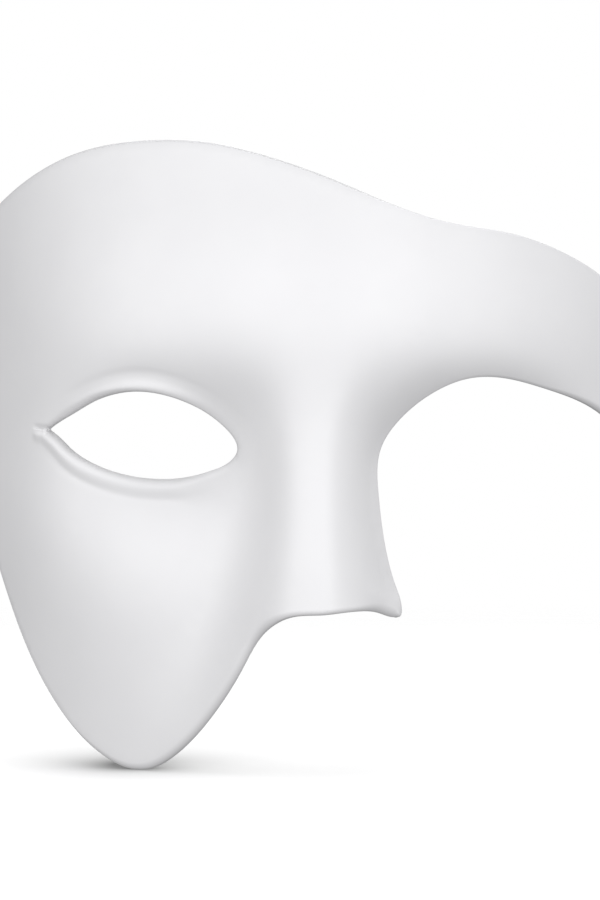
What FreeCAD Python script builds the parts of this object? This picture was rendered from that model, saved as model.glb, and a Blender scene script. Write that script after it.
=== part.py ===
import FreeCAD, Part
import math
import os
from FreeCAD import Base

# Plain half-face masquerade mask: a moulded shell with one eye opening, five stick-on foam pads
# and an adjustable elastic strap held by two rivets. Everything is in millimetres.
# Frame: the origin is on the inside of the shell at the root of the nose, +X points to the wearer's
# left, +Y from the shell into the face, +Z up. Places on the shell are given as (x, z).

Vector = FreeCAD.Vector

# ---- shell ----
SHELL_THICKNESS = 2.0
GRID_STEP = 3.0            # spacing of the surface grid
EYE_CUT = (-3.0, 5.0)      # depths between which the eye opening is cut
RIM_EDGES = 8              # edges that a closed outline is split into

# relief of the outer face: depth grows towards the wearer
CURL_DEPTH = 13.5          # catenary that carries the face round to the temples
CURL_RUN = 40.0
FOREHEAD_START = 23.0
CHEEK_FALL_START = -45.0
FALL_BEND = 0.002
FALL_SOFTNESS = 8.0
BROW_LIFT = 14.5
BROW_AT = (38.0, 15.5)
BROW_SPREAD = (32.0, 23.0)
SOCKET_DEPTH = 10.0
SOCKET_AT = (39.0, 0.0)
SOCKET_SPREAD = (24.0, 33.0)
SOCKET_POWER = 1.25
NOSE_START = 9.5
NOSE_SLOPE = 0.55
NOSE_EASE = 0.003
NOSE_SOFTNESS = 5.0
NOSE_HALF_WIDTH = 11.5
NOSE_FLARE = 0.0022
NOSE_POWER = 1.35
NOSE_CENTRE = -1.5
CHEEK_LIFT = 6.5
CHEEK_AT = (80.0, -26.0)
CHEEK_SPREAD = (24.0, 32.0)

# outline of the shell, anticlockwise from the top of the wearer's right temple
TEMPLE_SIDE = [(-97.5, 49.0), (-101.0, 32.0), (-100.0, 14.0), (-97.2, -5.0)]
CHEEK_OUTER = [(-92.5, -25.0), (-85.7, -46.0), (-77.9, -65.0), (-69.3, -78.9)]
CHEEK_TIP = [(-58.7, -89.2), (-48.5, -92.7), (-38.8, -87.4)]
CHEEK_INNER = [(-30.1, -77.5), (-21.6, -63.8), (-15.6, -54.3)]
NOSE_CUT = [(-9.4, -50.7), (-0.2, -49.9), (10.2, -49.1)]
NOSE_HOOK = [(16.0, -49.6), (19.2, -50.8), (20.6, -51.0), (21.0, -48.2)]
NOSE_SIDE = [(19.6, -43.8), (16.6, -32.5), (15.0, -19.5), (15.5, -7.9)]
ARCH = [(20.5, 0.0), (29.1, 7.0), (39.0, 11.0), (49.5, 11.0), (61.1, 8.1)]
BAND_END = [(75.7, 2.8), (85.6, -1.6), (92.2, 3.0), (92.8, 14.0), (87.6, 27.4), (78.6, 37.6)]
BAND_TOP = [(65.4, 45.1), (50.5, 49.8), (35.0, 52.1), (20.7, 56.2)]
FOREHEAD_EDGE = [(5.0, 62.7), (-14.0, 69.7), (-31.0, 73.8), (-47.0, 74.7), (-64.5, 72.6), (-82.9, 64.3)]
OUTLINE = (
    TEMPLE_SIDE + CHEEK_OUTER + CHEEK_TIP + CHEEK_INNER + NOSE_CUT + NOSE_HOOK + NOSE_SIDE + ARCH
    + BAND_END + BAND_TOP + FOREHEAD_EDGE
)

# eye opening, starting and ending at its pointed outer corner
EYE_CORNER = (-73.9, -2.1)
LOWER_LID = [(-67.5, -7.7), (-59.2, -12.3), (-48.1, -15.2), (-37.3, -15.3), (-28.5, -13.1)]
INNER_CORNER = [(-23.7, -10.6), (-22.1, -8.3)]
UPPER_LID = [(-25.8, -1.4), (-34.3, 4.2), (-47.7, 7.6), (-58.8, 5.7), (-67.4, 1.6)]

# ---- foam pads: name, centre, half sizes, tilt in degrees ----
PADS = [
    ("forehead_pad", (-25.0, 50.0), (36.0, 8.0), -8.0),
    ("brow_pad", (-1.0, 13.5), (16.0, 6.0), 0.0),
    ("cheek_pad", (-49.0, -45.0), (18.0, 12.5), 12.0),
    ("temple_pad_right", (-86.0, -7.0), (5.5, 14.0), 8.0),
    ("temple_pad_left", (63.0, 20.0), (9.0, 7.5), -12.0),
]
PAD_POWER = 2.8            # exponent of the pads' rounded outline
PAD_POINTS = 20
PAD_MARGIN = 6.0           # surface grid kept round each pad
PAD_THICKNESS = 5.0
ADHESIVE_THICKNESS = 0.4
LAYER_GAP = 0.1

# ---- elastic strap ----
STRAP_WIDTH = 12.0
STRAP_THICKNESS = 1.2
STRAP_Z = 21.0
STRAP_OFF_SHELL = 1.1
TAB_LENGTH = 8.0           # strap end past the rivet
LEAVE_LENGTH = 6.0         # from the rivet to where the strap turns away
TURN_RADIUS = 5.0
ANCHOR_X = (-92.0, 81.0)   # rivets at the wearer's right and left temples
SLIDER_AT = 52.0           # along the straight run, from its start
RING_AT = 102.0
SLIDER_TRAVEL = 30.0

# ---- slider and ring ----
FIT_GAP = 0.15
SIDE_GAP = 0.4
RING_WIRE_RADIUS = 1.2
RING_BAR_SPACING = 6.5
CENTRE_BAR = (2.4, 1.1)    # along the strap, through it
OUTER_BAR = (2.2, 1.5)
SLIDER_HALF_LENGTH = 7.5
SLIDER_RAIL = 2.0
LOOP_REACH = 14.5          # from the centre bar to the end of the sewn loop
LOOP_BEND_RADIUS = 3.0
LOOP_SEWN_LENGTH = 8.0
SHORT_BEND_RADIUS = 4.0
SHORT_SEWN_LENGTH = 9.0

# ---- stitches ----
THREAD_RADIUS = 0.25
STITCH_LENGTH = 1.7
STITCH_PITCH = 2.2
STITCH_ROWS = (-4.4, 4.4)
STITCHES_PER_ROW = 3

# ---- rivets ----
RIVET_HOLE_RADIUS = 1.6
SHANK_RADIUS = 1.5
CAP_RADIUS = 4.0
CAP_THICKNESS = 0.7
CAP_DOME = 0.9
CAP_GAP = 0.35
WASHER_RADIUS = 4.2
WASHER_THICKNESS = 0.5
BURR_RADIUS = 2.5
BURR_THICKNESS = 0.7


# ---------- the face ----------

def ramp(distance, softness):
    """A straight rise that starts softly at distance 0."""
    return softness * math.log1p(math.exp(distance / softness))


def hump(value, centre, spread):
    return math.exp(-(((value - centre) / spread) ** 2))


def both_sides(x, centre, spread):
    return hump(x, centre, spread) + hump(x, -centre, spread)


def socket(x, z, centre):
    reach = ((x - centre) / SOCKET_SPREAD[0]) ** 2 + ((z - SOCKET_AT[1]) / SOCKET_SPREAD[1]) ** 2
    return math.exp(-(reach ** SOCKET_POWER))


def nose(x, z):
    drop = ramp(NOSE_START - z, NOSE_SOFTNESS)
    height = NOSE_SLOPE * drop - NOSE_EASE * drop ** 2
    half_width = NOSE_HALF_WIDTH + NOSE_FLARE * drop ** 2
    return height * math.exp(-((((x - NOSE_CENTRE) / half_width) ** 2) ** NOSE_POWER))


def relief(x, z):
    """Depth of the outer face, growing towards the wearer."""
    curl = CURL_DEPTH * (math.cosh(x / CURL_RUN) - 1.0)
    forehead = FALL_BEND * ramp(z - FOREHEAD_START, FALL_SOFTNESS) ** 2
    cheek_fall = FALL_BEND * ramp(CHEEK_FALL_START - z, FALL_SOFTNESS) ** 2
    brow = BROW_LIFT * hump(z, BROW_AT[1], BROW_SPREAD[1]) * both_sides(x, BROW_AT[0], BROW_SPREAD[0])
    sockets = SOCKET_DEPTH * (socket(x, z, SOCKET_AT[0]) + socket(x, z, -SOCKET_AT[0]))
    cheek = CHEEK_LIFT * hump(z, CHEEK_AT[1], CHEEK_SPREAD[1]) * both_sides(x, CHEEK_AT[0], CHEEK_SPREAD[0])
    return curl + forehead + cheek_fall + sockets - brow - cheek - nose(x, z)


SET_BACK = -SHELL_THICKNESS - relief(0.0, 0.0)


def face_y(x, z):
    return relief(x, z) + SET_BACK


def face_normal(x, z):
    """Outward unit normal of the outer face."""
    step = 0.05
    slope_x = (relief(x + step, z) - relief(x - step, z)) / (2.0 * step)
    slope_z = (relief(x, z + step) - relief(x, z - step)) / (2.0 * step)
    return Vector(slope_x, -1.0, slope_z).normalize()


def face_point(x, z, depth):
    return Vector(x, face_y(x, z), z) - face_normal(x, z) * depth


# ---------- closed pieces that follow the face ----------

def even_knots(low, high):
    spans = max(2, round((high - low) / GRID_STEP))
    return [low + (high - low) * i / spans for i in range(spans + 1)]


def pole_places(knots):
    """Where cubic poles go so that the surface parameters are x and z themselves."""
    padded = [knots[0]] * 3 + knots + [knots[-1]] * 3
    return [sum(padded[i + 1:i + 4]) / 3.0 for i in range(len(padded) - 4)]


def face_surface(x_span, z_span, depth):
    x_knots = even_knots(*x_span)
    z_knots = even_knots(*z_span)
    poles = [[face_point(x, z, depth) for z in pole_places(z_knots)] for x in pole_places(x_knots)]
    x_mults = [4] + [1] * (len(x_knots) - 2) + [4]
    z_mults = [4] + [1] * (len(z_knots) - 2) + [4]
    surface = Part.BSplineSurface()
    surface.buildFromPolesMultsKnots(poles, x_mults, z_mults, x_knots, z_knots, False, False, 3, 3)
    return surface


def slab(points, depths, margin, smooth_all_round=True):
    """Closed solid between two depths under the face, inside an outline of (x, z) points."""
    xs = [p[0] for p in points]
    zs = [p[1] for p in points]
    x_span = (min(xs) - margin, max(xs) + margin)
    z_span = (min(zs) - margin, max(zs) + margin)
    curve = Part.Geom2d.BSplineCurve2d()
    curve.interpolate([Base.Vector2d(*p) for p in points], smooth_all_round)
    first, last = curve.FirstParameter, curve.LastParameter
    stops = [first + (last - first) * i / RIM_EDGES for i in range(RIM_EDGES + 1)]
    faces = []
    rims = []
    for depth in depths:
        surface = face_surface(x_span, z_span, depth)
        rim = [curve.toShape(surface, start, end) for start, end in zip(stops, stops[1:])]
        faces.append(Part.Face(surface, Part.Wire(rim)))
        rims.append(rim)
    walls = [Part.makeRuledSurface(outer, inner) for outer, inner in zip(*rims)]
    shell = Part.makeShell(faces + walls)
    shell.sewShape()
    solid = Part.makeSolid(shell)
    if solid.Volume < 0:
        solid.reverse()
    return solid


def rounded_outline(centre, half_sizes, tilt):
    points = []
    for i in range(PAD_POINTS):
        angle = 2.0 * math.pi * i / PAD_POINTS
        across = math.copysign(abs(math.cos(angle)) ** (2.0 / PAD_POWER), math.cos(angle)) * half_sizes[0]
        up = math.copysign(abs(math.sin(angle)) ** (2.0 / PAD_POWER), math.sin(angle)) * half_sizes[1]
        turn = math.radians(tilt)
        x = centre[0] + across * math.cos(turn) - up * math.sin(turn)
        z = centre[1] + across * math.sin(turn) + up * math.cos(turn)
        points.append((x, z))
    return points


# ---------- flat ribbons that follow a path seen from above ----------

def walk(start, heading, steps):
    """Path of ("run", length) and ("turn", radius, degrees) steps; positive degrees turn left."""
    pieces = []
    x, y = start
    angle = math.radians(heading)
    for step in steps:
        if step[0] == "run":
            end = (x + step[1] * math.cos(angle), y + step[1] * math.sin(angle))
            pieces.append(("run", (x, y), end, angle))
        else:
            side = math.copysign(1.0, step[2])
            centre = (x - side * step[1] * math.sin(angle), y + side * step[1] * math.cos(angle))
            turned = math.radians(step[2])
            pieces.append(("turn", centre, step[1], angle, turned))
            angle += turned
            end = (centre[0] + side * step[1] * math.sin(angle), centre[1] - side * step[1] * math.cos(angle))
        x, y = end
    return pieces, (x, y), math.degrees(angle)


def beside(point, angle, offset, z):
    """Point at offset to the left of a heading."""
    return Vector(point[0] - offset * math.sin(angle), point[1] + offset * math.cos(angle), z)


def side_edge(piece, offset, z):
    if piece[0] == "run":
        start = beside(piece[1], piece[3], offset, z)
        end = beside(piece[2], piece[3], offset, z)
        return start, end, Part.LineSegment(start, end).toShape()
    kind, centre, radius, angle, turned = piece
    side = math.copysign(1.0, turned)
    reach = offset - side * radius
    start, middle, end = (beside(centre, angle + turned * part, reach, z) for part in (0.0, 0.5, 1.0))
    return start, end, Part.Arc(start, middle, end).toShape()


def ribbon(pieces):
    """The strap's thickness along a path, as wide as the strap."""
    low = STRAP_Z - STRAP_WIDTH / 2.0
    half = STRAP_THICKNESS / 2.0
    right = [side_edge(piece, -half, low) for piece in pieces]
    left = [side_edge(piece, half, low) for piece in pieces]
    ends = [
        Part.LineSegment(left[0][0], right[0][0]).toShape(),
        Part.LineSegment(right[-1][1], left[-1][1]).toShape(),
    ]
    edges = Part.sortEdges([side[2] for side in right + left] + ends)[0]
    return Part.Face(Part.Wire(edges)).extrude(Vector(0.0, 0.0, STRAP_WIDTH))


# ---------- strap layout, seen from above ----------

def anchor(x):
    """Where a strap end is riveted: outer point, heading outwards along the shell, way inwards."""
    step = 0.05
    slope = (face_y(x + step, STRAP_Z) - face_y(x - step, STRAP_Z)) / (2.0 * step)
    along = Vector(1.0, slope, 0.0).normalize() * math.copysign(1.0, x)
    inward = Vector(-slope, 1.0, 0.0).normalize()
    return Vector(x, face_y(x, STRAP_Z), STRAP_Z), along, inward


STRAP_DEPTH = SHELL_THICKNESS + STRAP_OFF_SHELL + STRAP_THICKNESS / 2.0


def turn_centre(x):
    point, along, inward = anchor(x)
    return point + inward * (STRAP_DEPTH + TURN_RADIUS) + along * LEAVE_LENGTH


RIGHT_TURN = turn_centre(ANCHOR_X[0])
LEFT_TURN = turn_centre(ANCHOR_X[1])
CHORD = LEFT_TURN - RIGHT_TURN
CHORD_LENGTH = CHORD.Length
CHORD_ANGLE = math.atan2(CHORD.y, CHORD.x)
CHORD_START = beside((RIGHT_TURN.x, RIGHT_TURN.y), CHORD_ANGLE, TURN_RADIUS, 0.0)
CHORD_HEADING = math.degrees(CHORD_ANGLE)

# heights above the strap's middle, towards the back
RETURN_HEIGHT = STRAP_THICKNESS + FIT_GAP
CENTRE_BAR_HEIGHT = RETURN_HEIGHT + STRAP_THICKNESS / 2.0 + FIT_GAP + CENTRE_BAR[1] / 2.0
TAIL_HEIGHT = 2.0 * CENTRE_BAR_HEIGHT - RETURN_HEIGHT
RING_HEIGHT = TAIL_HEIGHT / 2.0
LOOP_RADIUS = (TAIL_HEIGHT - RETURN_HEIGHT) / 2.0


def on_chord(along, height):
    """Point at a distance along the straight run and a height above its middle, from above."""
    x = CHORD_START.x + along * math.cos(CHORD_ANGLE)
    y = CHORD_START.y + along * math.sin(CHORD_ANGLE)
    return (x - height * math.sin(CHORD_ANGLE), y + height * math.cos(CHORD_ANGLE))


def settle(rise, radius):
    """Degrees of the two equal bends that carry a layer sideways by rise."""
    return math.degrees(math.acos(1.0 - rise / (2.0 * radius)))


def anchored_start(x):
    point, along, inward = anchor(x)
    start = point + inward * STRAP_DEPTH - along * TAB_LENGTH
    heading = math.degrees(math.atan2(along.y, along.x))
    return (start.x, start.y), heading


def long_strap():
    start, heading = anchored_start(ANCHOR_X[0])
    turn = CHORD_HEADING - heading
    return walk(start, heading, [
        ("run", TAB_LENGTH + LEAVE_LENGTH),
        ("turn", TURN_RADIUS, turn),
        ("run", RING_AT),
        ("turn", RING_HEIGHT, 180.0),
    ])[0]


def short_strap():
    start, heading = anchored_start(ANCHOR_X[1])
    turn = CHORD_HEADING + 180.0 - heading
    bend = settle(TAIL_HEIGHT - STRAP_THICKNESS - LAYER_GAP, SHORT_BEND_RADIUS)
    return walk(start, heading, [
        ("run", TAB_LENGTH + LEAVE_LENGTH),
        ("turn", TURN_RADIUS, turn),
        ("run", CHORD_LENGTH - RING_AT - RING_BAR_SPACING),
        ("turn", RING_HEIGHT, -180.0),
        ("turn", SHORT_BEND_RADIUS, -bend),
        ("turn", SHORT_BEND_RADIUS, bend),
        ("run", SHORT_SEWN_LENGTH),
    ])


def tail():
    length = RING_AT - SLIDER_AT - LOOP_REACH
    return walk(on_chord(RING_AT, TAIL_HEIGHT), CHORD_HEADING + 180.0, [("run", length)])[0]


def tail_loop():
    bend = settle(TAIL_HEIGHT - STRAP_THICKNESS - LAYER_GAP - RETURN_HEIGHT, LOOP_BEND_RADIUS)
    shift = 2.0 * LOOP_BEND_RADIUS * math.sin(math.radians(bend))
    back = CENTRE_BAR[0] / 2.0 - 0.3
    under = LOOP_REACH + back - shift - LOOP_SEWN_LENGTH
    return walk(on_chord(SLIDER_AT + LOOP_REACH - LAYER_GAP, TAIL_HEIGHT), CHORD_HEADING + 180.0, [
        ("run", LOOP_REACH - LAYER_GAP + back),
        ("turn", LOOP_RADIUS, 180.0),
        ("run", under),
        ("turn", LOOP_BEND_RADIUS, bend),
        ("turn", LOOP_BEND_RADIUS, -bend),
        ("run", LOOP_SEWN_LENGTH - LAYER_GAP),
    ])[0]


def place_on_chord(shape, along):
    """Moves a shape from local axes (along, through, up) to its place on the strap."""
    placed = shape.copy()
    placed.rotate(Vector(0, 0, 0), Vector(0, 0, 1), CHORD_HEADING)
    x, y = on_chord(along, 0.0)
    placed.translate(Vector(x, y, STRAP_Z))
    return placed


# ---------- pieces ----------

def mask_shell():
    shell = slab(OUTLINE, (0.0, SHELL_THICKNESS), GRID_STEP * 2.0)
    eye = [EYE_CORNER] + LOWER_LID + INNER_CORNER + UPPER_LID + [EYE_CORNER]
    shell = shell.cut(slab(eye, EYE_CUT, GRID_STEP * 2.0, smooth_all_round=False))
    for x in ANCHOR_X:
        point, along, inward = anchor(x)
        start = point - inward * 5.0
        shell = shell.cut(Part.makeCylinder(RIVET_HOLE_RADIUS, 12.0, start, inward))
    return shell


def pad_layers():
    layers = {}
    glue = (SHELL_THICKNESS + LAYER_GAP, SHELL_THICKNESS + LAYER_GAP + ADHESIVE_THICKNESS)
    foam = (glue[1] + LAYER_GAP, glue[1] + LAYER_GAP + PAD_THICKNESS)
    for name, centre, half_sizes, tilt in PADS:
        outline = rounded_outline(centre, half_sizes, tilt)
        layers[name + "_adhesive"] = slab(outline, glue, PAD_MARGIN)
        layers[name] = slab(outline, foam, PAD_MARGIN)
    return layers


def with_rivet_hole(strap, x):
    point, along, inward = anchor(x)
    start = point + inward * SHELL_THICKNESS
    return strap.cut(Part.makeCylinder(RIVET_HOLE_RADIUS, 2.0 * STRAP_THICKNESS + 1.0, start, inward))


def box_at(along, through, up):
    """Box from three (low, high) spans in the strap's local axes."""
    corner = Vector(along[0], through[0], up[0])
    return Part.makeBox(along[1] - along[0], through[1] - through[0], up[1] - up[0], corner)


def strap_slider():
    half_strap = STRAP_WIDTH / 2.0
    rail_in = half_strap + SIDE_GAP
    rail_out = rail_in + SLIDER_RAIL
    face_top = -STRAP_THICKNESS / 2.0 - FIT_GAP
    face_low = face_top - OUTER_BAR[1]
    bar_low = CENTRE_BAR_HEIGHT - CENTRE_BAR[1] / 2.0
    bar_high = CENTRE_BAR_HEIGHT + CENTRE_BAR[1] / 2.0
    full = (-SLIDER_HALF_LENGTH, SLIDER_HALF_LENGTH)
    rails = [
        box_at(full, (face_low, bar_high), (rail_in, rail_out)),
        box_at(full, (face_low, bar_high), (-rail_out, -rail_in)),
    ]
    bars = [
        box_at((full[0], full[0] + OUTER_BAR[0]), (face_low, face_top), (-rail_out, rail_out)),
        box_at((full[1] - OUTER_BAR[0], full[1]), (face_low, face_top), (-rail_out, rail_out)),
        box_at((-CENTRE_BAR[0] / 2.0, CENTRE_BAR[0] / 2.0), (bar_low, bar_high), (-rail_out, rail_out)),
    ]
    frame = rails[0].fuse(rails[1:] + bars).removeSplitter()
    corners = [e for e in frame.Edges if is_outer_corner(e, full[1], rail_out)]
    return place_on_chord(frame.makeFillet(SLIDER_RAIL * 0.7, corners), SLIDER_AT)


def is_outer_corner(edge, reach, rail_out):
    """True for the edges through the frame's four outer corners."""
    box = edge.BoundBox
    runs_through = box.XLength < 0.01 and box.ZLength < 0.01
    return runs_through and abs(abs(box.XMin) - reach) < 0.01 and abs(abs(box.ZMin) - rail_out) < 0.01


def strap_ring():
    up = STRAP_WIDTH / 2.0 + SIDE_GAP + RING_WIRE_RADIUS
    corners = [
        Vector(0.0, RING_HEIGHT, -up),
        Vector(0.0, RING_HEIGHT, up),
        Vector(RING_BAR_SPACING, RING_HEIGHT, up),
        Vector(RING_BAR_SPACING, RING_HEIGHT, -up),
    ]
    parts = []
    for start, end in zip(corners, corners[1:] + corners[:1]):
        run = end - start
        parts.append(Part.makeCylinder(RING_WIRE_RADIUS, run.Length, start, run))
        parts.append(Part.makeSphere(RING_WIRE_RADIUS, start))
    return place_on_chord(parts[0].fuse(parts[1:]), RING_AT)


def stitch_rows(first, height):
    """Two rows of surface stitches on one side of a sewn overlap."""
    stitches = []
    for row in STITCH_ROWS:
        for i in range(STITCHES_PER_ROW):
            start = Vector(first + i * STITCH_PITCH, height, row)
            stitches.append(Part.makeCylinder(THREAD_RADIUS, STITCH_LENGTH, start, Vector(1, 0, 0)))
    return stitches


def sewn_stitches(first, top, bottom, along):
    proud = THREAD_RADIUS + LAYER_GAP / 2.0
    stitches = stitch_rows(first, top + proud) + stitch_rows(first, bottom - proud)
    return place_on_chord(Part.makeCompound(stitches), along)


def loop_stitches():
    half = STRAP_THICKNESS / 2.0
    first = LOOP_REACH - LOOP_SEWN_LENGTH + 0.8
    lower_layer = TAIL_HEIGHT - STRAP_THICKNESS - LAYER_GAP
    return sewn_stitches(first, TAIL_HEIGHT + half, lower_layer - half, SLIDER_AT)


def end_stitches(short_end):
    half = STRAP_THICKNESS / 2.0
    end_x = (short_end[0] - CHORD_START.x) * math.cos(CHORD_ANGLE)
    end_y = (short_end[1] - CHORD_START.y) * math.sin(CHORD_ANGLE)
    first = -SHORT_SEWN_LENGTH + 1.2
    return sewn_stitches(first, STRAP_THICKNESS + LAYER_GAP + half, -half, end_x + end_y)


def rivet(x):
    """Tubular rivet: domed cap outside, shank through shell and strap, rolled burr inside."""
    point, along, inward = anchor(x)
    cap_base = point - inward * CAP_GAP
    burr_depth = STRAP_DEPTH + STRAP_THICKNESS / 2.0 + WASHER_THICKNESS + 2.0 * LAYER_GAP
    shank = Part.makeCylinder(SHANK_RADIUS, CAP_GAP + burr_depth + BURR_THICKNESS, cap_base, inward)
    cap = Part.makeCylinder(CAP_RADIUS, CAP_THICKNESS, cap_base, -inward)
    dome_radius = (CAP_RADIUS ** 2 + CAP_DOME ** 2) / (2.0 * CAP_DOME)
    dome_centre = cap_base - inward * (CAP_THICKNESS + CAP_DOME - dome_radius)
    dome = Part.makeSphere(dome_radius, dome_centre)
    dome = dome.common(Part.makeCylinder(CAP_RADIUS, CAP_THICKNESS + CAP_DOME + 0.5, cap_base, -inward))
    burr = Part.makeCylinder(BURR_RADIUS, BURR_THICKNESS, point + inward * burr_depth, inward)
    return shank.fuse([cap, dome, burr]).removeSplitter()


def rivet_washer(x):
    point, along, inward = anchor(x)
    base = point + inward * (STRAP_DEPTH + STRAP_THICKNESS / 2.0 + LAYER_GAP)
    disc = Part.makeCylinder(WASHER_RADIUS, WASHER_THICKNESS, base, inward)
    return disc.cut(Part.makeCylinder(RIVET_HOLE_RADIUS, WASHER_THICKNESS, base, inward))


def all_pieces():
    short_path, short_end, short_heading = short_strap()
    pieces = {"mask_shell": mask_shell()}
    pieces.update(pad_layers())
    pieces["strap_long"] = with_rivet_hole(ribbon(long_strap()), ANCHOR_X[0])
    pieces["strap_tail"] = ribbon(tail())
    pieces["strap_tail_loop"] = ribbon(tail_loop())
    pieces["strap_short"] = with_rivet_hole(ribbon(short_path), ANCHOR_X[1])
    pieces["strap_slider"] = strap_slider()
    pieces["strap_ring"] = strap_ring()
    pieces["loop_stitches"] = loop_stitches()
    pieces["end_stitches"] = end_stitches(short_end)
    for side, x in zip(("right", "left"), ANCHOR_X):
        pieces["rivet_" + side] = rivet(x)
        pieces["rivet_washer_" + side] = rivet_washer(x)
    return pieces


os.makedirs("parts", exist_ok=True)
for node, shape in all_pieces().items():
    shape.exportStep("parts/" + node + ".step")
    print(node, "valid", shape.isValid(), "solids", len(shape.Solids), "mm3", round(shape.Volume, 1))
print("slider axis", round(math.cos(CHORD_ANGLE), 6), round(math.sin(CHORD_ANGLE), 6))
print("straight run", round(CHORD_LENGTH, 2), "mm, slider travel", SLIDER_TRAVEL, "mm")
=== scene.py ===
import math

import bmesh
import bpy
import numpy as np
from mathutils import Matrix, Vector
from mathutils.geometry import delaunay_2d_cdt


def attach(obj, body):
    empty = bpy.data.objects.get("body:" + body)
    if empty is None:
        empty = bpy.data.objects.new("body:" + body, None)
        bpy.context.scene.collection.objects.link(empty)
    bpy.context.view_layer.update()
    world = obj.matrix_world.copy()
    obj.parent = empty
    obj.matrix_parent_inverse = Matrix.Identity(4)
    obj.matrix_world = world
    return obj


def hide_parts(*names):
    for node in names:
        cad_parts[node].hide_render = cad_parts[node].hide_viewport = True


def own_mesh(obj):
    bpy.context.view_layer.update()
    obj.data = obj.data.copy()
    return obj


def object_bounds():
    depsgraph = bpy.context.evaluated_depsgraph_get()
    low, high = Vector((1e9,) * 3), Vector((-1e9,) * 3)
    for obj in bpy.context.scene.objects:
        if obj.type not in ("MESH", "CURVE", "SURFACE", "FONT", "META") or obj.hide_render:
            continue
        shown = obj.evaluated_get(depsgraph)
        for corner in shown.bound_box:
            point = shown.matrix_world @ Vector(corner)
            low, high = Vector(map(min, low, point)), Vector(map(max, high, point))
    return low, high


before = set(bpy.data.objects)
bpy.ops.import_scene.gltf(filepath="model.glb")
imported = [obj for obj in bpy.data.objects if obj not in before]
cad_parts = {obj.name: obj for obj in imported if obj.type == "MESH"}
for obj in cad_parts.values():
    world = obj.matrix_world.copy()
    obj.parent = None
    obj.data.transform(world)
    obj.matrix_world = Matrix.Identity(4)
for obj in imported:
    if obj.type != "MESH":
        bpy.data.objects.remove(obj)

# Looks for the half-face masquerade mask. Lengths here are in millimetres in the part's own frame,
# and every mesh is written in metres. The face relief, the outlines and the strap's layout repeat
# the design's own numbers, so each piece lies where its CAD solid lies.

CAD_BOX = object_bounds()
MM = 0.001

# ---- shell ----
SHELL_THICKNESS = 2.0
GRID_STEP = 1.3
CELL_CORNERS = [(0, 0), (1, 0), (1, 1), (0, 1)]

CURL_DEPTH = 13.5
CURL_RUN = 40.0
FOREHEAD_START = 23.0
CHEEK_FALL_START = -45.0
FALL_BEND = 0.002
FALL_SOFTNESS = 8.0
BROW_LIFT = 14.5
BROW_AT = (38.0, 15.5)
BROW_SPREAD = (32.0, 23.0)
SOCKET_DEPTH = 10.0
SOCKET_AT = (39.0, 0.0)
SOCKET_SPREAD = (24.0, 33.0)
SOCKET_POWER = 1.25
NOSE_START = 9.5
NOSE_SLOPE = 0.55
NOSE_EASE = 0.003
NOSE_SOFTNESS = 5.0
NOSE_HALF_WIDTH = 11.5
NOSE_FLARE = 0.0022
NOSE_POWER = 1.35
NOSE_CENTRE = -1.5
CHEEK_LIFT = 6.5
CHEEK_AT = (80.0, -26.0)
CHEEK_SPREAD = (24.0, 32.0)

TEMPLE_SIDE = [(-97.5, 49.0), (-101.0, 32.0), (-100.0, 14.0), (-97.2, -5.0)]
CHEEK_OUTER = [(-92.5, -25.0), (-85.7, -46.0), (-77.9, -65.0), (-69.3, -78.9)]
CHEEK_TIP = [(-58.7, -89.2), (-48.5, -92.7), (-38.8, -87.4)]
CHEEK_INNER = [(-30.1, -77.5), (-21.6, -63.8), (-15.6, -54.3)]
NOSE_CUT = [(-9.4, -50.7), (-0.2, -49.9), (10.2, -49.1)]
NOSE_HOOK = [(16.0, -49.6), (19.2, -50.8), (20.6, -51.0), (21.0, -48.2)]
NOSE_SIDE = [(19.6, -43.8), (16.6, -32.5), (15.0, -19.5), (15.5, -7.9)]
ARCH = [(20.5, 0.0), (29.1, 7.0), (39.0, 11.0), (49.5, 11.0), (61.1, 8.1)]
BAND_END = [(75.7, 2.8), (85.6, -1.6), (92.2, 3.0), (92.8, 14.0), (87.6, 27.4), (78.6, 37.6)]
BAND_TOP = [(65.4, 45.1), (50.5, 49.8), (35.0, 52.1), (20.7, 56.2)]
FOREHEAD_EDGE = [(5.0, 62.7), (-14.0, 69.7), (-31.0, 73.8), (-47.0, 74.7), (-64.5, 72.6), (-82.9, 64.3)]
# each stretch of the outline: how far its rounded rim reaches across the face, how much shade is
# painted on the rim (painted light where it is below nothing), how far the face curls back beside
# it, and how much shade is painted on that curl
RIMS = [
    (TEMPLE_SIDE, 0.7, 0.12, 0.0, 0.0),
    (CHEEK_OUTER, 0.6, 0.13, 0.0, 0.0),
    (CHEEK_TIP, 1.9, 0.08, 0.0, 0.0),
    (CHEEK_INNER, 2.4, 0.10, 0.0, 0.0),
    (NOSE_CUT, 1.4, -0.10, 0.0, 0.0),
    (NOSE_HOOK, 2.2, -0.07, 0.4, 0.08),
    (NOSE_SIDE, 0.6, 0.04, 1.1, 0.08),
    (ARCH, 0.9, 0.03, 0.75, 0.0),
    (BAND_END, 1.5, 0.02, 0.0, 0.0),
    (BAND_TOP, 0.9, 0.05, 0.0, 0.0),
    (FOREHEAD_EDGE, 1.4, 0.23, 0.0, 0.0),
]
CURL_REACH = 9.0                   # how far from the edge that curl starts

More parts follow.
